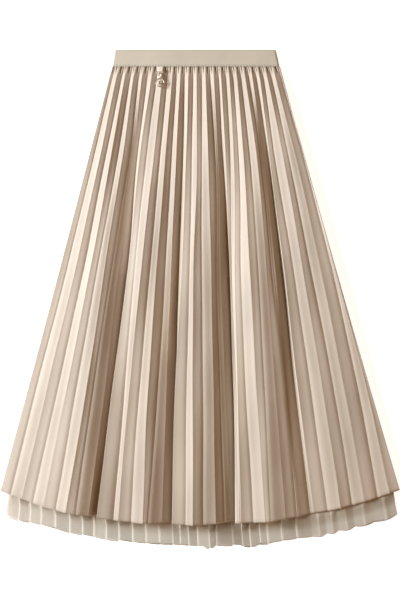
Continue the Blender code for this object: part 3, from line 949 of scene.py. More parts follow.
FOLDS = (
    Fold((1.6, 2.4, 2.6, 2.3, 2.4), (3.8, 5.0, 5.7, 5.3, 5.2), (17.4, 21.5, 24.8), (21.2, 25.6, 27.2)),
    Fold((7.0, 7.9, 8.8, 8.5, 8.3), (8.6, 10.2, 10.9, 11.1, 11.0), (18.9, 24.6, 30.2), (22.8, 29.2, 33.4)),
    Fold((12.0, 13.3, 13.7, 14.0, 14.2), (13.6, 15.6, 16.2, 16.8, 16.8), (17.8, 29.4, 35.4), (19.6, 29.8, 39.6)),
    Fold((16.9, 18.9, 18.6, 18.9, 19.3), (18.5, 20.2, 21.4, 22.4, 22.5), (15.4, 25.8, 36.8), (12.8, 18.2, 26.4)),
    Fold((21.8, 22.5, 24.9, 25.4, 25.5), (24.0, 23.4, 24.5, 24.5, 24.6), (10.4, 11.0, 11.4), (16.6, 26.8, 36.5)),
    Fold((27.2, 26.5, 27.2, 28.2, 28.7), (30.2, 30.0, 29.4, 29.3, 29.9), (16.4, 29.8, 31.8), (19.8, 32.8, 33.2)),
    Fold((33.4, 33.0, 32.5, 32.5, 33.0), (36.0, 35.2, 35.0, 35.0, 35.8), (16.3, 28.8, 33.4), (19.4, 28.8, 38.2)),
    Fold((38.6, 38.3, 38.1, 37.7, 37.2), (40.7, 40.3, 40.1, 40.4, 40.7), (15.2, 21.2, 35.6), (18.2, 20.6, 23.4)),
    Fold((43.3, 43.3, 43.0, 43.4, 43.8), (45.3, 44.9, 43.9, 42.7, 43.0), (11.0, 11.4, 12.8), (17.9, 33, 34.5)),
    Fold((48.2, 47.6, 46.8, 46.3, 46.3), (50.1, 49.7, 48.2, 48.0, 48.0), (16.4, 33.4, 35.4), (20.0, 36.2, 39.2)),
    Fold((53.2, 52.2, 51.2, 50.9, 50.6), (55.3, 55.1, 54.5, 54.1, 53.6), (18.2, 32.8, 33.8), (22.4, 30.6, 29.6)),
    Fold((58.1, 58.3, 56.5, 56.0, 55.6), (60.0, 59.8, 58.0, 57.4, 57.3), (17.4, 25.4, 20.8), (15.1, 21.4, 14.6)),
    Fold((63.1, 61.9, 61.3, 60.5, 58.9), (64.2, 62.9, 61.2, 59.8, 58.2), (10.0, 10.4, 11.6), (15.6, 19.2, 26.0)),
    Fold((67.2, 65.4, 61.9, 60.6, 59.0), (69.0, 66.9, 62.8, 61.0, 59.7), (14.0, 19.6, 28.2), (16.1, 23.6, 29.2)),
    Fold((71.3, 69.2, 65.3, 63.5, 62.7), (73.4, 71.4, 68.4, 66.5, 65.7), (15.9, 25.4, 27.4), (21.8, 32.2, 33.0)),
    Fold((75.9, 74.4, 71.3, 69.0, 67.0), (78.2, 77.4, 74.5, 72.0, 70.5), (18.9, 30.6, 33.4), (21.6, 27.0, 25.6)),
    Fold((80.5, 79.4, 76.4, 74.9, 73.4), (82.3, 80.6, 77.6, 75.3, 74.0), (19.2, 23.6, 20.2), (15.6, 20.4, 17.7)),
    Fold((84.8, 82.8, 80.3, 77.9, 76.7), (86.5, 83.5, 80.8, 78.6, 77.7), (10.0, 10.4, 10.9), (14.6, 18.6, 11.4)),
    Fold((88.9, 86.0, 84.2, 82.6, 81.1), (90.9, 89.7, 87.7, 86.0, 84.3), (14.2, 16.3, 13), (17.9, 19.2, 16)),
    Fold((93.6, 92.4, 90.7, 89.3, 87.5), (95.7, 95.4, 94.0, 92.5, 90.7), (16.3, 17, 13.6), (17.2, 17.9, 15.6)),
    Fold((99.2, 99.2, 98.4, 96.6, 94.2), (99.6, 99.6, 99.4, 98.9, 97.4), (15.6, 16, 13.6), (15.8, 18.0, 15.6)),
)


@dataclass(frozen=True)
class Section:
    """The front's rounded sections: one row per share of the length, one column per point.

    X, height and depth are in millimetres. The marks are 0 to 1, and the last three are the same in every row. They
    place painted light: crest a highlight along the crests, valley shade along the valleys, notch shade in the tucks
    at the seam and spike a highlight on the spikes between them.
    """

    x: np.ndarray
    height: np.ndarray
    depth: np.ndarray
    crest: np.ndarray
    valley: np.ndarray
    notch_shade: np.ndarray
    spike_highlight: np.ndarray


@dataclass
class SatinFront:
    """The front panel of the satin, pleat by pleat as it lies.

    A ripple is its height in millimetres, the length it takes along the depth and its step from crease to crease.
    """

    outline: Outline
    folds: tuple[Fold, ...] = FOLDS
    place_levels: tuple[float, ...] = (0.03, 0.205, 0.4675, 0.73, 1.0)
    height_levels: tuple[float, ...] = (0.0, 0.03, 0.205, 0.5, 1.0)
    left_crest: tuple[float, float, float] = (18.2, 22, 22.4)
    right_crest: tuple[float, float, float] = (15.4, 17.2, 15.0)
    seam_heights: tuple[float, float] = (5.6, 8.2)
    band_heights: tuple[float, float] = (8.6, 12.2)
    side_height: float = 4.95
    crest_round: float = 0.7
    valley_round: float = 0.6
    crest_pinch: float = 0.25
    valley_pinch: float = 0.6
    pinch_width: float = 1.6
    # Painted shade along the valleys, near the waist and at the hem; the tucks at the seam, with painted shade in them
    # and a painted highlight on the spikes between them.
    valley_shade: tuple[float, float] = (0.16, 0.07)
    tuck_depth: float = 16.0
    tuck_height: float = 3.0
    tuck_shade: float = 0.8
    spike_highlight_amount: float = 0.9
    side_turn: float = 0.9
    sway: tuple[tuple[float, float, float], ...] = ((0.45, 97, 2.1), (0.25, 37, 1.3))
    heave: tuple[tuple[float, float, float], ...] = ((0.4, 71, 1.7), (0.2, 29, 2.9))
    facet_bow: float = 0.03
    wall: float = 0.8
    rows: int = 108

    def row_shares(self) -> np.ndarray:
        """Shares of the length at which the panel has a row, closer near the seam and at the hem.

        Returns:
            The shares, rising from 0 to 1.
        """
        even = np.linspace(0.0, 1.0, self.rows)
        rows = 0.35 * even**2 + 0.65 * even
        turning = np.array([0.9925, 0.9938, 0.9951])
        return np.unique(np.concatenate([rows, turning]))

    def creases(self, rows: np.ndarray) -> tuple[np.ndarray, np.ndarray]:
        """Place and height of every crease at every row, with the two side crests.

        Args:
            rows: shares of the length.

        Returns:
            Places (0 to 1) and heights in millimetres, one row per share and one column per crease.
        """
        places, heights = [], []
        seam_valley, seam_crest = self.seam_heights
        band_valley, band_crest = self.band_heights
        for fold in self.folds:
            places += [fold.valley, fold.crest]
            heights += [(seam_valley, band_valley, *fold.valley_height), (seam_crest, band_crest, *fold.crest_height)]
        edge = (seam_crest - 1.4, band_crest - 2.0)
        heights = [(*edge, *self.left_crest), *heights, (*edge, *self.right_crest)]
        placed = smooth_through(self.place_levels, np.array(places), rows) / 100
        full = np.vstack([np.zeros(len(rows)), placed, np.ones(len(rows))])
        raised = smooth_through(self.height_levels, np.array(heights), rows)
        return full.T, raised.T

    def corner_lines(self, rows: np.ndarray) -> tuple[np.ndarray, np.ndarray, np.ndarray]:
        """X, height and depth of the sharp section at every row, both sides turned down.

        Args:
            rows: shares of the length.

        Returns:
            Three arrays in millimetres, one row per share and one column per corner.
        """
        places, heights = self.creases(rows)
        places = np.hstack([places[:, :1], places, places[:, -1:]])
        floor = np.full((len(rows), 1), self.side_height)
        heights = np.hstack([floor, heights, floor])
        depths = rows[:, None] * self.outline.hem_depth(places)
        left, right = self.outline.sides(depths)
        x = self.outline.seen_place(places, depths, heights)
        x[:, :2] = left[:, :2] + (0.0, self.side_turn)
        x[:, -2:] = right[:, -2:] - (self.side_turn, 0.0)
        order = np.arange(x.shape[1])[None, :]
        free = self.outline.opened(depths)
        free[:, :2] = free[:, -2:] = 0.0
        x += free * sum(size * np.sin(depths / run + step * order) for size, run, step in self.sway)
        heights += free * sum(size * np.sin(depths / run + step * order) for size, run, step in self.heave)
        return x, heights, depths

    def sections(self, rows: np.ndarray) -> Section:
        """The rounded section at every row.

        Args:
            rows: shares of the length.

        Returns:
            The sections, with the marks that the finish reads.
        """
        x, z, depths = self.corner_lines(rows)
        count = x.shape[1]
        is_crest = np.arange(count) % 2 == 1
        flat = np.stack([x, z], axis=2)
        corners = flat.copy()
        pinched = np.where(is_crest, self.crest_pinch, -self.valley_pinch) * smooth_step(depths / 60)
        pinched[:, :2] = pinched[:, -2:] = 0.0
        corners[:, :, 1] += pinched
        legs = np.diff(corners, axis=1)
        lengths = np.linalg.norm(legs, axis=2, keepdims=True)
        radius = np.where(is_crest, self.crest_round, self.valley_round)[None, :, None]
        tuck = self.tucked(depths)
        parts, part_depths, marks = [], [], []

        def put(point: np.ndarray, depth: np.ndarray, crest: float = 0.0, valley: float = 0.0,
                notch_shade: float = 0.0) -> None:
            """Adds a column of points with its marks.

            Args:
                point: X and height in each row.
                depth: its depth in each row.
                crest: its mark for the painted highlight along a crest.
                valley: its mark for the painted shade along a valley.
                notch_shade: its mark for the painted shade in a tuck at the seam, where below 0 it is a painted
                    highlight on the spike between tucks.
            """
            parts.append(point)
            part_depths.append(depth)
            marks.append((min(1.0, crest), valley, max(notch_shade, 0.0), max(-notch_shade, 0.0)))

        for i in range(count):
            here = corners[:, i]
            if i in (0, count - 1):
                put(here, depths[:, i])
                continue
            back = np.minimum(radius[:, i], 0.42 * lengths[:, i - 1])
            start = here - legs[:, i - 1] / lengths[:, i - 1] * back
            ahead = np.minimum(radius[:, i], 0.42 * lengths[:, i])
            end = here + legs[:, i] / lengths[:, i] * ahead
            for t in (0.0, 0.33, 0.67, 1.0):
                put((1 - t) ** 2 * start + 2 * t * (1 - t) * here + t * t * end, depths[:, i],
                    crest=is_crest[i] * (1.0 - abs(2 * t - 1)) * 1.5, valley=0.0 if is_crest[i] else 1.0 - t)
            if i == count - 2:
                continue
            bow = self.facet_bow * lengths[:, i, 0] * np.sin(depths[:, i] / 140 + 1.9 * i)
            bow = bow * self.outline.opened(depths[:, i])
            lift = tuck[:, i] * self.tuck_height
            flank = np.minimum(self.pinch_width / lengths[:, i, 0], 0.3)
            for t, sign, free in ((flank, 0.1, 0.0), (0.36, 0.1, 1.0), (0.5, -1.0, 1.0), (0.64, 0.1, 1.0),
                                  (1 - flank, 0.1, 0.0)):
                share = np.broadcast_to(t, flank.shape)
                point = flat[:, i] + (flat[:, i + 1] - flat[:, i]) * share[:, None]
                point[:, 1] += free * bow + sign * lift
                put(point, depths[:, i] + (depths[:, i + 1] - depths[:, i]) * share,
                    valley=is_crest[i] * float(np.mean(share)) ** 2,
                    notch_shade=self.tuck_shade if sign < 0 else -self.spike_highlight_amount * free)
        line = np.stack(parts, axis=1)
        crest, valley, notch_shade, spike_highlight = np.array(marks, float).T
        crest = np.tile(crest, (len(rows), 1))
        return Section(line[:, :, 0], line[:, :, 1], np.stack(part_depths, axis=1), crest, valley, notch_shade, spike_highlight)

    def tucked(self, depths: np.ndarray) -> np.ndarray:
        """How far each facet is tucked in along its middle, 1 at the seam and 0 below tuck_depth."""
        return 1 - smooth_step(depths / self.tuck_depth)

    @staticmethod
    def hollows(x: np.ndarray, z: np.ndarray, reach: float = 45.0) -> np.ndarray:
        """How much of the light the neighbouring pleats hide from each point, 0 in the open and 1 deep in a fold.

        Most of the light comes from the left, so that side counts for more. The finish paints this share into the
        satin's colour as shade.

        Args:
            x: X of each point, one row per section.
            z: its height.
            reach: how far to each side to look, in millimetres.

        Returns:
            One share per point.
        """
        hidden = np.zeros_like(x)
        for row, (line_x, line_z) in enumerate(zip(x, z)):
            run = line_x[None, :] - line_x[:, None]
            climb = np.arctan2(line_z[None, :] - line_z[:, None] - 0.4, np.abs(run) + 0.3)
            for side, weight in ((run < 0, 0.8), (run > 0, 0.2)):
                highest = np.where(side & (np.abs(run) < reach), climb, 0.0).max(axis=1)
                hidden[row] += weight * (1.0 - np.cos(np.maximum(highest, 0.0)))
        return hidden

    def lowest_near(self, x: np.ndarray, row_low: float, row_high: float, reach: np.ndarray) -> np.ndarray:
        """Lowest height of the panel's under side near each X, between two rows.

        Args:
            x: where to look, in millimetres.
            row_low: the first row's share of the length.
            row_high: the last row's share.
            reach: how far to each side to look.

        Returns:
            The height at each X.
        """
        rows = np.linspace(row_low, row_high, 5)
        section = self.sections(rows)
        lowest = np.full(len(x), 1e9)
        for row_x, row_z in zip(section.x, section.height):
            near = np.abs(row_x[None, :] - x[:, None]) < reach[:, None]
            lowest = np.minimum(lowest, np.where(near, row_z[None, :], 1e9).min(axis=1))
        return lowest - self.wall * 1.5

    def build(self, finish: Material) -> Piece:
        """Makes the panel.

        Args:
            finish: its material.

        Returns:
            The finished piece.
        """
        rows = self.row_shares()
        section = self.sections(rows)
        x, z, depths = section.x, section.height, section.depth
        points = np.stack([x, self.outline.seam_y - depths, z], axis=2).reshape(-1, 3)
        mesh = mesh_from("front_pleats", points, grid_faces(*x.shape))
        run = np.hypot(np.diff(x, axis=1), np.diff(z, axis=1))
        across = np.hstack([np.zeros((len(rows), 1)), np.cumsum(run, axis=1)])
        store_uv(mesh, across, depths)
        tucked = self.tucked(depths)
        # Painted light on the front: the crest mark brightens the crests and the spikes between the tucks, and the
        # shade mark darkens where the neighbouring pleats hide the light, along the valleys and in the tucks.
        store(mesh, "crest", np.minimum(1.0, section.crest + tucked * section.spike_highlight))
        upper, lower = self.valley_shade
        shade = lower + (upper - lower) * (1 - smooth_step(rows / 0.5))
        painted = shade[:, None] * section.valley + tucked * section.notch_shade
        store(mesh, "painted_shade", self.hollows(x, z) + painted)
        store(mesh, "to_hem", (1.0 - rows)[:, None] * self.outline.hem_depth(np.full_like(x, 0.5)))
        mesh.materials.append(finish)
        piece = new_object("front_pleats", mesh)
        cloth_wall(piece, self.wall)
        settle(piece)
        declare(piece, Body.SKIRT, Slot.SATIN, "satin_front")
        return piece


class ClothTree:
    """What both Geometry Nodes trees have: named inputs, a material, and ends that leave one plain mesh."""

    def __init__(self, name: str, numbers: dict[str, float], seeded: bool = False) -> None:
        """Opens the tree.

        Args:
            name: the tree's name.
            numbers: its number inputs, with their defaults.
            seeded: whether it has a seed too.
        """
        self.tree = bpy.data.node_groups.new(name, "GeometryNodeTree")
        self.tree.is_modifier = True
        self.ids: dict[str, str] = {}
        self._input("Geometry", "NodeSocketGeometry")
        for label, default in numbers.items():
            self._input(label, "NodeSocketFloat").default_value = default
        if seeded:
            self._input("Seed", "NodeSocketInt")
        self._input("Material", "NodeSocketMaterial")
        self.tree.interface.new_socket(name="Geometry", in_out="OUTPUT", socket_type="NodeSocketGeometry")
        self.sheet = NodeSheet(self.tree)
        self.start = self.sheet.node("NodeGroupInput").outputs

    def _input(self, label: str, kind: str) -> bpy.types.NodeTreeInterfaceSocket:
        """Adds an input and keeps its identifier.

        Args:
            label: the input's name.
            kind: its socket type.

        Returns:
            The input.
        """
        socket = self.tree.interface.new_socket(name=label, in_out="INPUT", socket_type=kind)
        self.ids[label] = socket.identifier
        return socket

    def _close(self, geometry: Socket) -> None:
        """Ends the tree with Realize Instances and Set Material.

        Args:
            geometry: what the tree has made.
        """
        sheet = self.sheet
        real, dress = sheet.node("GeometryNodeRealizeInstances"), sheet.node("GeometryNodeSetMaterial")
        sheet.join(geometry, real.inputs[0])
        sheet.join(real.outputs[0], dress.inputs["Geometry"])
        sheet.join(self.start["Material"], dress.inputs["Material"])
        sheet.join(dress.outputs[0], sheet.node("NodeGroupOutput").inputs[0])

    def put_on(self, piece: Piece, material: Material, **values: float) -> None:
        """Puts the tree on a piece as a modifier.

        Args:
            piece: the piece.
            material: the material that the tree sets.
            values: the tree's inputs by name, with _ for a space.
        """
        made = piece.modifiers.new(self.tree.name, "NODES")
        made.node_group = self.tree
        made[self.ids["Material"]] = material
        for key, value in values.items():
            made[self.ids[key.replace("_", " ")]] = value


class PleatTree(ClothTree):
    """Presses a flat sheet into pleats by its phase, rise and lean attributes."""

    def __init__(self) -> None:
        """Lays out the nodes: a wave of the phase that leans to one side, rounded, and scaled pleat by pleat."""
        super().__init__("press_pleats", {"Sharpness": 1.0, "Unevenness": 0.2, "Flat share": 0.0}, seeded=True)
        sheet, start = self.sheet, self.start
        phase, rise, lean = (self._attribute(name) for name in ("phase", "rise", "lean"))
        within = sheet.math("FRACT", phase)
        climb = sheet.math("DIVIDE", within, lean)
        fall = sheet.math("DIVIDE", sheet.math("SUBTRACT", 1.0, within), sheet.math("SUBTRACT", 1.0, lean))
        peak = sheet.math("SUBTRACT", sheet.math("MINIMUM", climb, fall), start["Flat share"])
        peak = sheet.math("DIVIDE", peak, sheet.math("SUBTRACT", 1.0, start["Flat share"]), clamp=True)
        bend = sheet.math("SUBTRACT", 3.0, sheet.times(peak, 2.0))
        soft = sheet.times(sheet.times(peak, peak), bend)
        wave = sheet.node("ShaderNodeMix", data_type="FLOAT")
        sheet.join(start["Sharpness"], wave.inputs[0])
        sheet.join(soft, wave.inputs[2])
        sheet.join(peak, wave.inputs[3])
        chance = sheet.node("FunctionNodeRandomValue", data_type="FLOAT")
        sheet.join(sheet.math("FLOOR", phase), chance.inputs["ID"])
        sheet.join(start["Seed"], chance.inputs["Seed"])
        size = sheet.math("SUBTRACT", 1.0, sheet.times(chance.outputs[1], start["Unevenness"]))
        height = sheet.times(sheet.times(rise, wave.outputs[0]), size)
        lift = sheet.node("ShaderNodeCombineXYZ")
        sheet.join(sheet.times(height, MM), lift.inputs[2])
        move = sheet.node("GeometryNodeSetPosition")
        sheet.join(start["Geometry"], move.inputs["Geometry"])
        sheet.join(lift.outputs[0], move.inputs["Offset"])
        folded = self._stored("fold", move.outputs[0], sheet.remap(wave.outputs[0], 0.9, 1.0))
        self._close(self._stored("tone", folded, chance.outputs[1]))

    def _attribute(self, name: str) -> Socket:
        """Reads a named number of each point.

        Args:
            name: the number's name.

        Returns:
            Its socket.
        """
        made = self.sheet.node("GeometryNodeInputNamedAttribute", data_type="FLOAT")
        made.inputs["Name"].default_value = name
        return made.outputs["Attribute"]

    def _stored(self, name: str, geometry: Socket, value: Socket) -> Socket:
        """Stores a named number on each point, and passes the geometry on.

        Args:
            name: the number's name.
            geometry: the points.
            value: the number.

        Returns:
            The geometry with the number.
        """
        made = self.sheet.node("GeometryNodeStoreNamedAttribute", data_type="FLOAT", domain="POINT")
        made.inputs["Name"].default_value = name
        self.sheet.join(geometry, made.inputs["Geometry"])
        self.sheet.join(value, made.inputs["Value"])
        return made.outputs[0]


@dataclass
class SatinBack:
    """The back panel of the satin: the same pleats, pressed flat under the skirt."""

    outline: Outline
    pleats: int = 20
    rise: float = 3.2
    wall: float = 0.8
    side_height: float = 4.85
    side_share: float = 0.014
    edge_shares: tuple[float, ...] = (0.0, 0.0015, 0.004, 0.008)
    edge_lifts: tuple[float, ...] = (1.0, 0.42, 0.12, 0.0)
    fullness: float = 1.06
    rows: int = 90
    columns_per_pleat: int = 12

    def build(self, tree: PleatTree, finish: Material) -> Piece:
        """Makes the panel, lower face on the floor.

        Args:
            tree: the pleating tree.
            finish: its material.

        Returns:
            The finished piece.
        """
        rows = np.linspace(0.0, 1.0, self.rows)[:, None]
        edge = np.array(self.edge_shares)
        middle = np.linspace(self.side_share, 1 - self.side_share, self.pleats * self.columns_per_pleat + 1)
        places = np.concatenate([edge, middle, 1.0 - edge[::-1]])[None, :] + 0.0 * rows
        depths = rows * self.outline.hem_depth(places)
        left, right = self.outline.sides(depths)
        x = left + places * (right - left)
        lip = (self.side_height - self.wall) * np.array(self.edge_lifts)
        z = np.full_like(x, self.wall)
        z[:, : len(lip)] += lip
        z[:, -len(lip):] += lip[::-1]
        points = np.stack([x, self.outline.seam_y - depths, z], axis=2).reshape(-1, 3)
        mesh = mesh_from("back_pleats", points, grid_faces(*x.shape))
        inside = (places - self.side_share) / (1 - 2 * self.side_share)
        pleated = (inside > -0.001) & (inside < 1.001)
        store(mesh, "phase", np.clip(inside, 0.0, 1.0) * self.pleats)
        store(mesh, "rise", self.rise * self.outline.opened(depths) * pleated)
        for mark, value in (("lean", 0.5), ("crest", 0.0), ("painted_shade", 0.0)):
            store(mesh, mark, np.full(x.size, value))
        store(mesh, "to_hem", (1.0 - rows) * self.outline.hem_depth(np.full_like(x, 0.5)))
        store_uv(mesh, x * self.fullness + 4000.0, depths)
        mesh.materials.append(finish)
        piece = new_object("back_pleats", mesh)
        tree.put_on(piece, finish, Sharpness=0.3, Unevenness=0.15, Flat_share=0.35, Seed=7)
        cloth_wall(piece, self.wall)
        settle(piece)
        declare(piece, Body.SKIRT, Slot.SATIN, "satin_back")
        return piece


@dataclass
class NetUnderskirt:
    """The pleated net under the satin, front and back, longer than the satin."""

    outline: Outline
    satin: SatinFront
    fold_places: tuple[float, ...] = (
        0.0, 3.5, 6.4, 9.3, 13.0, 16.9, 20.2, 23.1, 26.2, 29.4, 32.8, 36.1, 39.4, 42.8, 44.6, 46.7, 48.9, 51.8,
        53.5, 57.5, 59.9, 61.8, 64.3, 66.1, 69.6, 73.4, 77.4, 81.1, 84.2, 88.5, 93.6, 100.0,
    )
    front_seam: float = 3.9
    front_lift: float = 4.9
    back_seam: float = 1.9
    back_lift: float = 3.4
    wall: float = 0.4
    clearance: float = 0.5
    most_puff: float = 15.0
    hem_puff: tuple[float, float] = (0.7, 1.4)
    leans: tuple[float, float] = (0.05, 0.5)
    round_from: float = 0.76
    side_inset: tuple[float, float] = (6.0, 6.5)
    corner_inset: tuple[float, float] = (8.0, 4.0)
    bunches: tuple[tuple[float, float, float], ...] = (
        (2.5, 3.0, 3.5), (51.8, 1.2, 5.0), (61.6, 1.9, 6.0), (65.5, 1.6, 3.0), (96.0, 4.0, 2.0),
    )
    scallops: tuple[float, float] = (0.8, 3.4)
    pleat_step: float = 1.1
    recess: tuple[float, float] = (56.6, 2.9)
    sag_from: float = 3.0
    sag_run: float = 26.0
    side_gap: float = 4.5
    front_fullness: float = 1.15
    back_fullness: float = 1.03
    seam_fullness: float = 1.1
    columns: tuple[float, ...] = (0.0, 0.02, 0.035, 0.05, 0.1, 0.2, 0.3, 0.4, 0.5, 0.6, 0.7, 0.8, 0.9, 0.98)
    row_count: int = 34
    overhang_rows: int = 20

    def sheet_grid(self, side: Side) -> tuple[np.ndarray, np.ndarray, np.ndarray, np.ndarray]:
        """The flat sheet's places, depths, X and share of the overhang.

        Args:
            side: the front or the back of the underskirt.

        Returns:
            Four arrays, one row per row of points.
        """
        phases = (np.arange(len(self.fold_places) - 1)[:, None] + np.array(self.columns)[None, :]).ravel()
        phases = np.append(phases, len(self.fold_places) - 1.0)
        places = np.interp(phases, np.arange(len(self.fold_places)), np.array(self.fold_places) / 100)[None, :]
        under = np.linspace(0.0, 1.0, self.row_count)[:, None] ** 0.9
        beyond = np.linspace(0.0, 1.0, self.overhang_rows + 1)[1:, None]
        satin_hem = self.outline.hem_depth(places)
        net_hem = self.outline.net_hem_depth(places) + self.hem_waves(places, side)
        depths = np.vstack([under * satin_hem, satin_hem + beyond * (net_hem - satin_hem)])
        shares = np.vstack([under * 0.0, beyond]) + 0.0 * places
        left, right = self.outline.sides(depths)
        opened = self.outline.opened(depths)
        left += self.side_gap + self.side_inset[0] * opened + self.corner_inset[0] * shares
        right -= self.side_gap + self.side_inset[1] * opened + self.corner_inset[1] * shares
        return places + 0.0 * depths, depths, left + places * (right - left), shares

    def hem_waves(self, places: np.ndarray, side: Side) -> np.ndarray:
        """Small steps of the net's cut edge and the bunches that hang longer, in millimetres of depth.

        Args:
            places: 0 to 1 across the net.
            side: front or back.

        Returns:
            How much longer the net is at each place.
        """
        turn = 2.0 if side is Side.FRONT else 5.0
        phase = self.phase(places)
        rounded = self.rounded(places)
        scallop = self.scallops[0] * (1 - rounded) + self.scallops[1] * rounded
        waves = 1.0 * np.sin(23 * places + turn) + 0.5 * np.sin(61 * places + 2 * turn) - 0.6
        waves += scallop * (np.abs(np.sin(math.pi * phase)) - 0.5)
        waves += (1 - rounded) * self.pleat_step * (np.sin(2.4 * np.floor(phase) + turn) + np.mod(phase, 1.0) - 0.5)
        for place, half_width, extra in self.bunches:
            waves += extra * smooth_step(1.5 - np.abs(100 * places - place) / half_width)
        return waves

    def phase(self, places: np.ndarray) -> np.ndarray:
        """The pleat count at each place: whole on each fold line."""
        folds = np.array(self.fold_places) / 100
        return np.interp(places, folds, np.arange(len(folds)))

    def rounded(self, places: np.ndarray) -> np.ndarray:
        """0 where the net is pressed into knife pleats, 1 on the right where its pleats are round."""
        return smooth_step((places - self.round_from) / 0.03)

    def sag(self, depths: np.ndarray, places: np.ndarray) -> np.ndarray:
        """How far the net has come down to the floor beyond the satin hem, 0 to 1."""
        return smooth_step((depths - self.outline.hem_depth(places) - self.sag_from) / self.sag_run)

    def build(self, side: Side, tree: PleatTree, finish: Material) -> Piece:
        """Makes one half of the underskirt.

        Args:
            side: the front or the back.
            tree: the pleating tree.
            finish: its material.

        Returns:
            The finished piece.
        """
        is_front = side is Side.FRONT
        places, depths, x, shares = self.sheet_grid(side)
        opened = self.outline.opened(depths)
        sag = self.sag(depths, places)
        if is_front:
            base = self.front_seam + self.front_lift * opened - (self.back_seam + self.back_lift) * sag
            rise = self.front_rise(places, depths, x, shares)
        else:
            base = (self.back_seam + self.back_lift * opened) * (1 - sag) + self.wall * sag
            rise = 0.8 * opened * (1 - sag) + 1.6 * sag
        name = "net_under_front" if is_front else "net_under_back"
        edge = smooth_step(np.minimum(places, 1 - places) / 0.008)
        points = np.stack([x, self.outline.seam_y - depths, base], axis=2).reshape(-1, 3)
        mesh = mesh_from(name, points, grid_faces(*x.shape))
        store(mesh, "phase", self.phase(places) + (0.0 if is_front else 0.35))
        rounded = self.rounded(places)
        store(mesh, "rise", rise * edge * (1 + 0.4 * rounded * (shares > 0)))
        store(mesh, "lean", self.leans[0] * (1 - rounded) + self.leans[1] * rounded)
        store(mesh, "thin", 1.0 - smooth_step((np.minimum(places, 1.15 - places) - 0.06) / 0.14))
        store(mesh, "shaded", 1.0 - smooth_step((np.abs(100 * places - self.recess[0]) - self.recess[1]) / 0.8))
        store(mesh, "to_hem", np.maximum(0.0, (1.0 - shares) * 40.0))
        store_uv(mesh, x * 1.3 + (0.0 if is_front else 3000.0), depths)
        mesh.materials.append(finish)
        piece = new_object(name, mesh)
        tree.put_on(piece, finish, Sharpness=0.3, Unevenness=0.7, Flat_share=0.0, Seed=11 + side.value)
        cloth_wall(piece, self.wall)
        settle(piece)
        declare(piece, Body.SKIRT, Slot.NET, "net_front" if is_front else "net_back")
        return piece

    def front_rise(self, places: np.ndarray, depths: np.ndarray, x: np.ndarray, shares: np.ndarray) -> np.ndarray:
        """Height of the front net's pleats: as high as the satin over them leaves room for.

        Args:
            places: 0 to 1 across each row.
            depths: distance below the seam.
            x: X of each point.
            shares: how far beyond the satin hem, 0 to 1.

        Returns:
            One height per point, in millimetres.
        """
        rows = depths / self.outline.hem_depth(places)
        rise = np.zeros_like(depths)
        reach = np.full(x.shape[1], 7.0)
        for r in range(len(depths)):
            middle = min(1.0, float(rows[r, x.shape[1] // 2]))
            low, high = max(0.0, middle - 0.03), min(1.0, middle + 0.03)
            ceiling = self.satin.lowest_near(x[r], low, high, reach)
            base = self.front_seam + self.front_lift * self.outline.opened(depths[r]) + self.wall
            rise[r] = np.clip(ceiling - self.clearance - base, 0.0, self.most_puff)
        beyond = smooth_step(shares / 0.45)
        puffed = np.clip(rise[-1][None, :], *self.hem_puff)
        return rise * (1 - beyond) + puffed * beyond


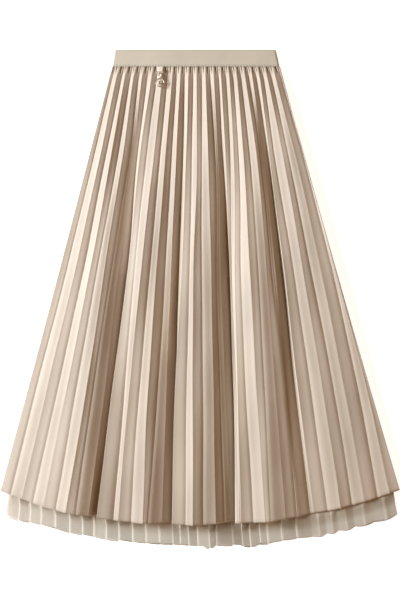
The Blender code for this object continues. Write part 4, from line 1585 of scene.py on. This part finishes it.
@dataclass
class Waistband:
    """The covered elastic waistband, one loop laid flat with soft side folds."""

    outline: Outline
    top: float = 6.6
    wall: float = 2.5
    edge_round: float = 1.1
    seam_gap: float = 0.2
    # Reach of the painted shade on the side folds, from the band's ends.
    side_fold_shade: float = 4.0
    swell: float = 0.25
    inside_uv: float = 40.0
    straight_columns: int = 180
    fold_columns: int = 12

    def loop(self, left: float, right: float) -> tuple[np.ndarray, np.ndarray, np.ndarray]:
        """The flattened loop that the wall's middle follows, seen from the waist.

        Args:
            left: X of the band's left fold.
            right: X of its right fold.

        Returns:
            Points in X and Z, their outward directions and the run along the loop, in millimetres.
        """
        radius = (self.top - self.wall) / 2
        half = (right - left) / 2 - self.wall / 2 - radius
        middle_x, middle_z = (left + right) / 2, self.top / 2
        turns, centres = [], []
        for end, start in ((1, math.pi / 2), (-1, -math.pi / 2)):
            for k in range(self.fold_columns + 1):
                turns.append(start - math.pi * k / self.fold_columns)
                centres.append(end * half)
            for k in range(1, self.straight_columns):
                turns.append(start - math.pi)
                centres.append(end * half * (1 - 2 * k / self.straight_columns))
        turn, centre = np.array(turns), np.array(centres)
        out = np.stack([np.cos(turn), np.sin(turn)], axis=1)
        points = np.stack([middle_x + centre, np.full(len(turn), middle_z)], axis=1) + radius * out
        run = np.concatenate([[0.0], np.cumsum(np.linalg.norm(np.diff(points, axis=0), axis=1))])
        return points, out, run

    def wall_section(self) -> list[tuple[float, float]]:
        """The wall's outline as offset from its middle and height above the seam, with round edges.

        Returns:
            The corners in order round the wall.
        """
        low, high = self.seam_gap, self.outline.band_height
        half, r = self.wall / 2, self.edge_round
        section = []
        corners = ((1, high - r, 0.0), (-1, high - r, math.pi / 2), (-1, low + r, math.pi), (1, low + r, 1.5 * math.pi))
        for side, height, start in corners:
            for k in range(5):
                turn = start + math.pi / 2 * k / 4
                section.append((side * (half - r) + r * math.cos(turn), height + r * math.sin(turn)))
        return section

    def build(self, finish: Material) -> Piece:
        """Makes the band.

        Args:
            finish: its material.

        Returns:
            The finished piece.
        """
        section = self.refined(self.wall_section())
        rings, across, along = [], [], []
        for offset, height in section:
            points, out, run = self.loop(*self.outline.band_sides(height))
            swell = self.swell * math.sin(math.pi * (1 - height / self.outline.band_height)) * np.sign(offset)
            ring = points + out * (offset + swell)
            rings.append(np.stack([ring[:, 0], np.full(len(ring), self.outline.seam_y + height), ring[:, 1]], axis=1))
            across.append(run)
            along.append(np.full(len(run), height + self.inside_uv * (offset < 0)))
        faces = tube_faces(len(rings), len(rings[0]), closes=True)
        mesh = mesh_from("elastic_waistband", np.vstack(rings), faces)
        store_uv(mesh, np.array(across), np.array(along))
        ring_x = np.array([ring[:, 0] for ring in rings])
        ends = np.minimum(ring_x - ring_x.min(axis=1, keepdims=True), ring_x.max(axis=1, keepdims=True) - ring_x)
        # Where the finish paints shade on the band's side folds.
        store(mesh, "side_fold_shade", 1.0 - smooth_step((ends - self.side_fold_shade) / 0.8))
        mesh.materials.append(finish)
        piece = new_object("elastic_waistband", mesh)
        declare(piece, Body.SKIRT, Slot.WAISTBAND, "waistband_front", "waistband_back")
        return piece

    @staticmethod
    def refined(section: list[tuple[float, float]]) -> list[tuple[float, float]]:
        """Adds points along the section's long sides, so the band can swell.

        Args:
            section: the wall's outline.

        Returns:
            The outline with more points.
        """
        made = []
        for (x0, y0), (x1, y1) in zip(section, section[1:] + section[:1]):
            made.append((x0, y0))
            if abs(y1 - y0) > 5.0:
                made += [(x0 + (x1 - x0) * k / 8, y0 + (y1 - y0) * k / 8) for k in range(1, 8)]
        return made


class StitchTree(ClothTree):
    """Lays stitches along a curve."""

    def __init__(self) -> None:
        """Lays out the nodes: points along the curve, and a stretched ball turned along it on each."""
        super().__init__("lay_stitches", {"Pitch": 2.5 * MM, "Length": 1.8 * MM, "Thickness": 0.22 * MM})
        sheet, start = self.sheet, self.start
        curve = sheet.node("GeometryNodeMeshToCurve")
        sheet.join(start["Geometry"], curve.inputs[0])
        spaced = sheet.node("GeometryNodeCurveToPoints", mode="LENGTH")
        sheet.join(curve.outputs[0], spaced.inputs[0])
        sheet.join(start["Pitch"], spaced.inputs["Length"])
        stitch = sheet.node("GeometryNodeMeshUVSphere")
        for label, value in (("Segments", 6), ("Rings", 4), ("Radius", 1.0)):
            stitch.inputs[label].default_value = value
        place = sheet.node("GeometryNodeInstanceOnPoints")
        sheet.join(spaced.outputs[0], place.inputs["Points"])
        sheet.join(stitch.outputs[0], place.inputs["Instance"])
        turn = sheet.node("FunctionNodeAlignRotationToVector", axis="Z")
        sheet.join(spaced.outputs["Tangent"], turn.inputs["Vector"])
        sheet.join(turn.outputs[0], place.inputs["Rotation"])
        size = sheet.node("ShaderNodeCombineXYZ")
        sheet.join(start["Thickness"], size.inputs[0])
        sheet.join(start["Thickness"], size.inputs[1])
        sheet.join(sheet.times(start["Length"], 0.5), size.inputs[2])
        sheet.join(size.outputs[0], place.inputs["Scale"])
        self._close(place.outputs[0])

    def sew(self, name: str, lines: Sequence[np.ndarray], thread: Material, pitch: float,
            length: float, thickness: float) -> Piece:
        """Lays stitches along lines of points.

        Args:
            name: the piece's name.
            lines: rows of X, Y and Z in millimetres.
            thread: the thread's material.
            pitch: from stitch to stitch, in millimetres.
            length: of one stitch.
            thickness: the thread's radius.

        Returns:
            The stitches as one piece.
        """
        points = np.vstack(lines)
        edges, first = [], 0
        for line in lines:
            edges += [(first + k, first + k + 1) for k in range(len(line) - 1)]
            first += len(line)
        mesh = bpy.data.meshes.new(name)
        mesh.from_pydata((points * MM).tolist(), edges, [])
        piece = new_object(name, mesh)
        self.put_on(piece, thread, Pitch=pitch * MM, Length=length * MM, Thickness=thickness * MM)
        settle(piece)
        piece.data.shade_smooth()
        return piece


@dataclass
class Sewing:
    """The stitch lines: along the waistband's lower edge and round the satin hem.

    A stitch is given as its pitch, its length and the thread's radius.
    """

    outline: Outline
    satin: SatinFront
    band: Waistband
    seam_height: float = 1.6
    from_side: float = 5.0
    hem_turning: float = 5.0
    seam_stitch: tuple[float, float, float] = (4.4, 2.6, 0.34)
    hem_stitch: tuple[float, float, float] = (2.4, 1.7, 0.16)

    def build(self, tree: StitchTree, thread: Material) -> list[Piece]:
        """Makes the stitches.

        Args:
            tree: the stitching tree.
            thread: the thread's material.

        Returns:
            The pieces.
        """
        left, right = self.outline.band_sides(self.seam_height)
        x = np.linspace(left + self.from_side, right - self.from_side, 60)
        y = np.full_like(x, self.outline.seam_y + self.seam_height)
        seam = np.stack([x, y, np.full_like(x, self.band.top + 0.12)], axis=1)
        seam_piece = tree.sew("waist_seam_stitches", [seam], thread, *self.seam_stitch)
        row = np.array([1.0 - self.hem_turning / self.outline.centre_depth])
        line = self.satin.sections(row)
        hem = np.stack([line.x[0], self.outline.seam_y - line.depth[0], line.height[0] + 0.05], axis=1)[2:-2]
        hem_piece = tree.sew("hem_stitches", [hem], thread, *self.hem_stitch)
        return [declare(seam_piece, Body.SKIRT, Slot.WAISTBAND), declare(hem_piece, Body.SKIRT, Slot.SATIN)]


@dataclass
class Charm:
    """The charm at the waist: ribbon tab, wire link, clasp, and ring with a plain disc."""

    outline: Outline
    x: float = -71.0
    depth: float = 9.0
    height: float = 12.0
    tab_tilt: float = math.radians(23.0)
    chain_tilt: float = math.radians(16.3)
    ring_tilt: float = math.radians(4.0)
    tab_half_width: float = 5.0
    tab_half_thickness: float = 0.9
    tab_length: float = 8.4
    tab_eye_outer: float = 2.0
    tab_eye_inner: float = 1.15
    link_half_width: float = 6.4
    link_length: float = 5.2
    link_corner: float = 1.4
    link_wire: float = 0.6
    clasp_start: float = 2.1
    clasp_length: float = 6.3
    clasp_half_width: float = 3.0
    clasp_wire: float = 0.8
    eye_radius: float = 1.5
    eye_wire: float = 0.5
    bail_radius: float = 1.65
    ring_radius: float = 7.0
    ring_wire: float = 0.85
    ring_drop: float = 9.1
    disc_radius: float = 3.0
    disc_thickness: float = 1.2

    def at(self, along: float, tilt: float) -> Matrix:
        """The place of a chain piece's own axis: how far along the chain, and its tilt about X.

        Args:
            along: distance along the chain, in millimetres.
            tilt: the piece's tilt.

        Returns:
            The place as a matrix.
        """
        y = self.outline.seam_y - self.depth - along * math.cos(self.chain_tilt)
        z = self.height + along * math.sin(self.chain_tilt)
        return Matrix.Translation((self.x, y, z)) @ Matrix.Rotation(-tilt, 4, "X")

    @staticmethod
    def tube(
        path: np.ndarray, radius: np.ndarray | float, sides: int, normal: Sequence[float]
    ) -> tuple[np.ndarray, list]:
        """A round wire along a closed flat path.

        Args:
            path: the wire's centre line, in millimetres.
            radius: the wire's radius, one number or one for each point.
            sides: how many points round the wire.
            normal: the direction that stands off the path's plane.

        Returns:
            Points and faces.
        """
        along = np.roll(path, -1, axis=0) - np.roll(path, 1, axis=0)
        along /= np.linalg.norm(along, axis=1, keepdims=True)
        out = np.tile(np.asarray(normal, float), (len(path), 1))
        beside = np.cross(along, out)
        turn = np.arange(sides) * math.tau / sides
        thick = np.broadcast_to(radius, (len(path),))[:, None, None]
        ring = np.cos(turn)[None, :, None] * out[:, None, :] + np.sin(turn)[None, :, None] * beside[:, None, :]
        return (path[:, None, :] + thick * ring).reshape(-1, 3), tube_faces(len(path), sides, closes=True)

    @staticmethod
    def circle(radius: float, centre: Sequence[float], steps: int, upright: bool) -> np.ndarray:
        """A circle lying in X-Y, or standing in Y-Z if upright.

        Args:
            radius: in millimetres.
            centre: its middle.
            steps: how many points.
            upright: whether it stands.

        Returns:
            One row per point.
        """
        turn = np.arange(steps) * math.tau / steps
        across, along, zero = radius * np.sin(turn), radius * np.cos(turn), np.zeros(steps)
        columns = [zero, along, across] if upright else [across, along, zero]
        return np.stack(columns, axis=1) + np.asarray(centre, float)

    @staticmethod
    def turned(profile: Sequence[tuple[float, float]], sides: int) -> tuple[np.ndarray, list]:
        """A closed round shape turned about Z from a profile of radius and height, bottom to top.

        Args:
            profile: radius and height of each ring.
            sides: points in a ring.

        Returns:
            Points and faces.
        """
        turn = np.arange(sides) * math.tau / sides
        points = [(radius * math.cos(a), radius * math.sin(a), height) for radius, height in profile for a in turn]
        return np.array(points), tube_faces(len(profile), sides)

    def piece(self, name: str, shapes: Sequence[tuple[np.ndarray, list]], place: Matrix, body: Body, slot: Slot,
              finish: Material, nodes: Sequence[str]) -> Piece:
        """Args:
            name: the piece's name.
            shapes: points and faces of each closed shape, in millimetres in the piece's own frame.
            place: the frame's place.
            body: the body it rides on.
            slot: its material slot.
            finish: its material.
            nodes: the CAD nodes it stands for.

        Returns:
            The finished piece.
        """
        points, faces, first = [], [], 0
        for shape_points, shape_faces in shapes:
            points.append(np.asarray(shape_points, float))
            faces += [tuple(i + first for i in face) for face in shape_faces]
            first += len(shape_points)
        turned = np.array([place @ Vector(p) for p in np.vstack(points)])
        mesh = mesh_from(name, turned, faces)
        mesh.set_sharp_from_angle(angle=math.radians(40))
        mesh.materials.append(finish)
        return declare(new_object(name, mesh), body, slot, *nodes)

    def tab(self, finish: Material) -> Piece:
        """The folded ribbon, closed round the link's bar.

        Args:
            finish: its material.

        Returns:
            The finished piece.
        """
        end = math.atan2(self.tab_half_thickness, self.tab_length)
        shoulder = math.asin(self.tab_half_thickness / self.tab_eye_outer)
        turns = [-end, end, *np.linspace(shoulder, math.tau - shoulder, 34)]
        outer = [
            (self.tab_length if n < 2 else self.tab_eye_outer * math.cos(t),
             math.copysign(self.tab_half_thickness, t) if n < 2 else self.tab_eye_outer * math.sin(t))
            for n, t in enumerate(turns)
        ]
        inner = [(self.tab_eye_inner * math.cos(t), self.tab_eye_inner * math.sin(t)) for t in turns]
        columns = np.array([-5.0, -4.85, -4.4, *np.linspace(-3.6, 3.6, 9), 4.4, 4.85, 5.0]) * self.tab_half_width / 5
        soft = 1 - 0.35 * np.clip((np.abs(columns) / self.tab_half_width - 0.8) / 0.2, 0, 1) ** 2
        count, points, faces = len(turns), [], []
        for x, s in zip(columns, soft):
            points += [(x, y, z * s) for y, z in outer] + [(x, y, z) for y, z in inner]
        step = 2 * count
        for c in range(len(columns) - 1):
            for i in range(count):
                j = (i + 1) % count
                a, b = c * step, (c + 1) * step
                faces.append((a + i, a + j, b + j, b + i))
                faces.append((b + count + i, b + count + j, a + count + j, a + count + i))
        last = (len(columns) - 1) * step
        for i in range(count):
            j = (i + 1) % count
            faces.append((i, count + i, count + j, j))
            faces.append((last + i, last + j, last + count + j, last + count + i))
        place = self.at(0.0, self.tab_tilt)
        shape = (np.array(points), faces)
        return self.piece("ribbon_tab", [shape], place, Body.SKIRT, Slot.TAB, finish, ["charm_tab"])

    def link(self, finish: Material) -> Piece:
        """The wire link on the tab.

        Args:
            finish: its material.

        Returns:
            The finished piece.
        """
        path = []
        for side, end, start in ((1, 1, 0.0), (1, -1, 0.5), (-1, -1, 1.0), (-1, 1, 1.5)):
            centre_x = side * (self.link_half_width - self.link_corner)
            centre_y = -self.link_length / 2 + end * (self.link_length / 2 - self.link_corner)
            for turn in start * math.pi + np.linspace(0.0, math.pi / 2, 9):
                across, along = self.link_corner * math.sin(turn), self.link_corner * math.cos(turn)
                path.append((centre_x + across, centre_y + along, 0))
        shape = self.tube(np.array(path), self.link_wire, 14, (0, 0, 1))
        return self.piece("wire_link", [shape], self.at(0.0, self.chain_tilt), Body.LINK, Slot.METAL, finish,
                          ["charm_link"])

    def clasp(self, finish: Material) -> Piece:
        """The clasp: its eye, its drop-shaped body and the lever on its right.

        Args:
            finish: its material.

        Returns:
            The finished piece.
        """
        eye = self.tube(self.circle(self.eye_radius, (0, 0, 0), 28, True), self.eye_wire, 12, (1, 0, 0))
        turn = np.arange(44) * math.tau / 44
        x = self.clasp_half_width * np.sin(turn) * (0.55 + 0.62 * np.sin(turn / 2) ** 2)
        y = -self.clasp_start - self.clasp_length / 2 + self.clasp_length / 2 * np.cos(turn)
        thick = self.clasp_wire * (1.0 + 0.12 * np.cos(turn))
        body = self.tube(np.stack([x, y, 0 * x], axis=1), thick, 16, (0, 0, 1))
        start = np.array((self.clasp_half_width - 0.4, -self.clasp_start - 2.2, 0.0))
        end = np.array((self.clasp_half_width + 1.7, -self.clasp_start - 1.2, 0.0))
        lever = self.rod(start, end, [(0.55, 0.0), (0.55, 0.55), (0.7, 0.62), (0.7, 0.92), (0.5, 1.0)], 16)
        collar = self.turned([(0.75, -0.7), (0.85, -0.5), (0.85, 0.5), (0.75, 0.7)], 20)
        top = (collar[0][:, [0, 2, 1]] * (1, 1.0, 1) + (0, -self.clasp_start + 0.1, 0), [f[::-1] for f in collar[1]])
        return self.piece("clasp", [eye, body, lever, top], self.at(self.link_length, self.chain_tilt), Body.CLASP,
                          Slot.METAL, finish, ["charm_clasp"])

    @staticmethod
    def rod(start: np.ndarray, end: np.ndarray, profile: Sequence[tuple[float, float]], sides: int) -> tuple:
        """A turned rod from start to end, its profile given as radius and share of the length.

        Args:
            start: the middle of one end.
            end: the middle of the other.
            profile: radius and share of each ring.
            sides: points in a ring.

        Returns:
            Points and faces.
        """
        along = end - start
        length = float(np.linalg.norm(along))
        along /= length
        first = np.cross(along, (0.0, 0.0, 1.0))
        first /= np.linalg.norm(first)
        second = np.cross(along, first)
        turn = np.arange(sides) * math.tau / sides
        circle = np.cos(turn)[:, None] * first + np.sin(turn)[:, None] * second
        points = [start + along * length * share + radius * circle for radius, share in profile]
        return np.vstack(points), tube_faces(len(profile), sides)

    def ring(self, finish: Material) -> Piece:
        """The ring with its bail, and the plain disc in it.

        Args:
            finish: its material.

        Returns:
            The finished piece.
        """
        centre = (0.0, -self.ring_drop, 0.0)
        ring = self.tube(self.circle(self.ring_radius, centre, 64, False), self.ring_wire, 16, (0, 0, 1))
        bail = self.tube(self.circle(self.bail_radius, (0, 0, 0), 28, True), self.eye_wire, 12, (1, 0, 0))
        neck = self.rod(np.array((0.0, -self.ring_drop + self.ring_radius - 0.2, 0.0)),
                        np.array((0.0, -self.ring_drop + self.disc_radius - 0.4, 0.0)),
                        [(0.6, 0.0), (0.45, 0.3), (0.45, 0.7), (0.6, 1.0)], 14)
        r, h = self.disc_radius, self.disc_thickness / 2
        profile = [(r - 0.5, -h), (r - 0.15, -h + 0.1), (r, -h + 0.3), (r, h - 0.3), (r - 0.15, h - 0.1), (r - 0.5, h),
                   (r - 0.85, h - 0.05), (r - 1.1, h - 0.25), (0.3, h - 0.3)]
        disc_points, disc_faces = self.turned(profile, 40)
        disc = (disc_points + np.array(centre), disc_faces)
        place = self.at(self.link_length + self.clasp_start + self.clasp_length, self.ring_tilt)
        return self.piece("ring_with_disc", [ring, bail, neck, disc], place, Body.RING, Slot.METAL, finish,
                          ["charm_ring"])


@dataclass(frozen=True)
class Lamp:
    """A soft rectangular light that faces a target, all in millimetres and watts."""

    name: str
    place: tuple[float, float, float]
    target: tuple[float, float, float]
    size: tuple[float, float]
    power: float
    colour: tuple[float, float, float]

    def hang(self) -> None:
        """Adds the light to the scene."""
        data = bpy.data.lights.new(self.name, "AREA")
        data.shape = "RECTANGLE"
        data.size, data.size_y = self.size[0] * MM, self.size[1] * MM
        data.energy = self.power
        data.color = self.colour
        made = bpy.data.objects.new(self.name, data)
        bpy.context.scene.collection.objects.link(made)
        made.location = Vector(self.place) * MM
        made.rotation_euler = (Vector(self.target) - Vector(self.place)).to_track_quat("-Z", "Y").to_euler()


@dataclass(frozen=True)
class Studio:
    """The pale floor, the soft lights from the left and the camera above."""

    camera_height: float = 1400.0
    camera_depth: float = 412.1
    world_colour: tuple[float, float, float] = (1.0, 0.62, 0.31)
    world_strength: float = 0.26
    floor_half: float = 6000.0
    floor_height: float = -0.4
    lamps: tuple[Lamp, ...] = (
        Lamp("key", (-2350.0, 450.0, 1360.0), (0.0, -50.0, 0.0), (720.0, 1200.0), 151.0, (0.755, 0.82, 0.85)),
        Lamp("fill", (500.0, -300.0, 2200.0), (0.0, 0.0, 0.0), (2200.0, 2200.0), 3.0, (1.0, 0.7, 0.45)),
    )

    def build(self, floor_finish: Material) -> None:
        """Makes the floor, the lights, the world and the camera.

        Args:
            floor_finish: the floor's material.
        """
        half, z = self.floor_half, self.floor_height
        points = [(-half, -half, z), (half, -half, z), (half, half, z), (-half, half, z)]
        floor_mesh = mesh_from("floor", np.array(points), [(0, 1, 2, 3)], smooth=False)
        floor_mesh.materials.append(floor_finish)
        new_object("floor", floor_mesh)
        for lamp in self.lamps:
            lamp.hang()
        self.surroundings()
        self.camera()
        bpy.context.scene.view_settings.view_transform = "Standard"

    def surroundings(self) -> None:
        """Sets the warm light of the room around the skirt, and a white wall where the room itself is seen."""
        world = bpy.data.worlds.new("studio")
        bpy.context.scene.world = world
        world.use_nodes = True
        nodes, links = world.node_tree.nodes, world.node_tree.links
        warm = nodes["Background"]
        warm.inputs["Color"].default_value = (*self.world_colour, 1.0)
        warm.inputs["Strength"].default_value = self.world_strength
        wall = nodes.new("ShaderNodeBackground")
        wall.inputs["Color"].default_value = (1.0, 1.0, 1.0, 1.0)
        seen = nodes.new("ShaderNodeLightPath")
        either = nodes.new("ShaderNodeMixShader")
        links.new(seen.outputs["Is Camera Ray"], either.inputs[0])
        links.new(warm.outputs[0], either.inputs[1])
        links.new(wall.outputs[0], either.inputs[2])
        links.new(either.outputs[0], nodes["World Output"].inputs["Surface"])

    def camera(self) -> None:
        """Sets the camera straight above, framed as the photograph is."""
        data = bpy.data.cameras.new("overhead")
        data.sensor_fit = "HORIZONTAL"
        data.angle_x = 2 * math.atan(PHOTO_WIDTH / 2 / FOCAL_PIXELS)
        data.clip_end = 50.0
        made = bpy.data.objects.new("overhead", data)
        bpy.context.scene.collection.objects.link(made)
        made.location = (0.0, (Outline().seam_y - self.camera_depth) * MM, self.camera_height * MM)
        bpy.context.scene.camera = made


def main() -> None:
    """Builds the skirt's sub-assemblies in order, then the studio."""
    logging.basicConfig(level=logging.INFO, format="%(name)s: %(message)s")
    groups = ShaderGroups()
    satin_finish = SatinFinish("champagne_satin", (0.60, 0.51, 0.435), 0.6).build(groups)
    net_finish = NetFinish("ivory_net", (0.74, 0.68, 0.60), 0.8).build(groups)
    band_finish = BandFinish("waistband_satin", (0.61, 0.55, 0.465), 0.6).build(groups)
    ribbon_finish = RibbonFinish("tab_ribbon", (0.85, 0.79, 0.71), 0.5).build(groups)
    thread_finish = ThreadFinish("champagne_thread", (0.72, 0.62, 0.52), 0.6).build(groups)
    metal_finish = MetalFinish("pale_gold", (0.70, 0.64, 0.52), 0.34).build(groups)
    floor_finish = FloorFinish("studio_paper", (0.93, 0.93, 0.93), 0.9).build(groups)

    outline = Outline()
    pleating = PleatTree()
    stitching = StitchTree()
    SatinBack(outline).build(pleating, satin_finish)
    front = SatinFront(outline)
    net = NetUnderskirt(outline, front)
    net.build(Side.BACK, pleating, net_finish)
    net.build(Side.FRONT, pleating, net_finish)
    front.build(satin_finish)
    band = Waistband(outline)
    band.build(band_finish)
    Sewing(outline, front, band).build(stitching, thread_finish)
    charm = Charm(outline)
    charm.tab(ribbon_finish)
    charm.link(metal_finish)
    charm.clasp(metal_finish)
    charm.ring(metal_finish)
    Studio().build(floor_finish)


if __name__ == "__main__":
    main()
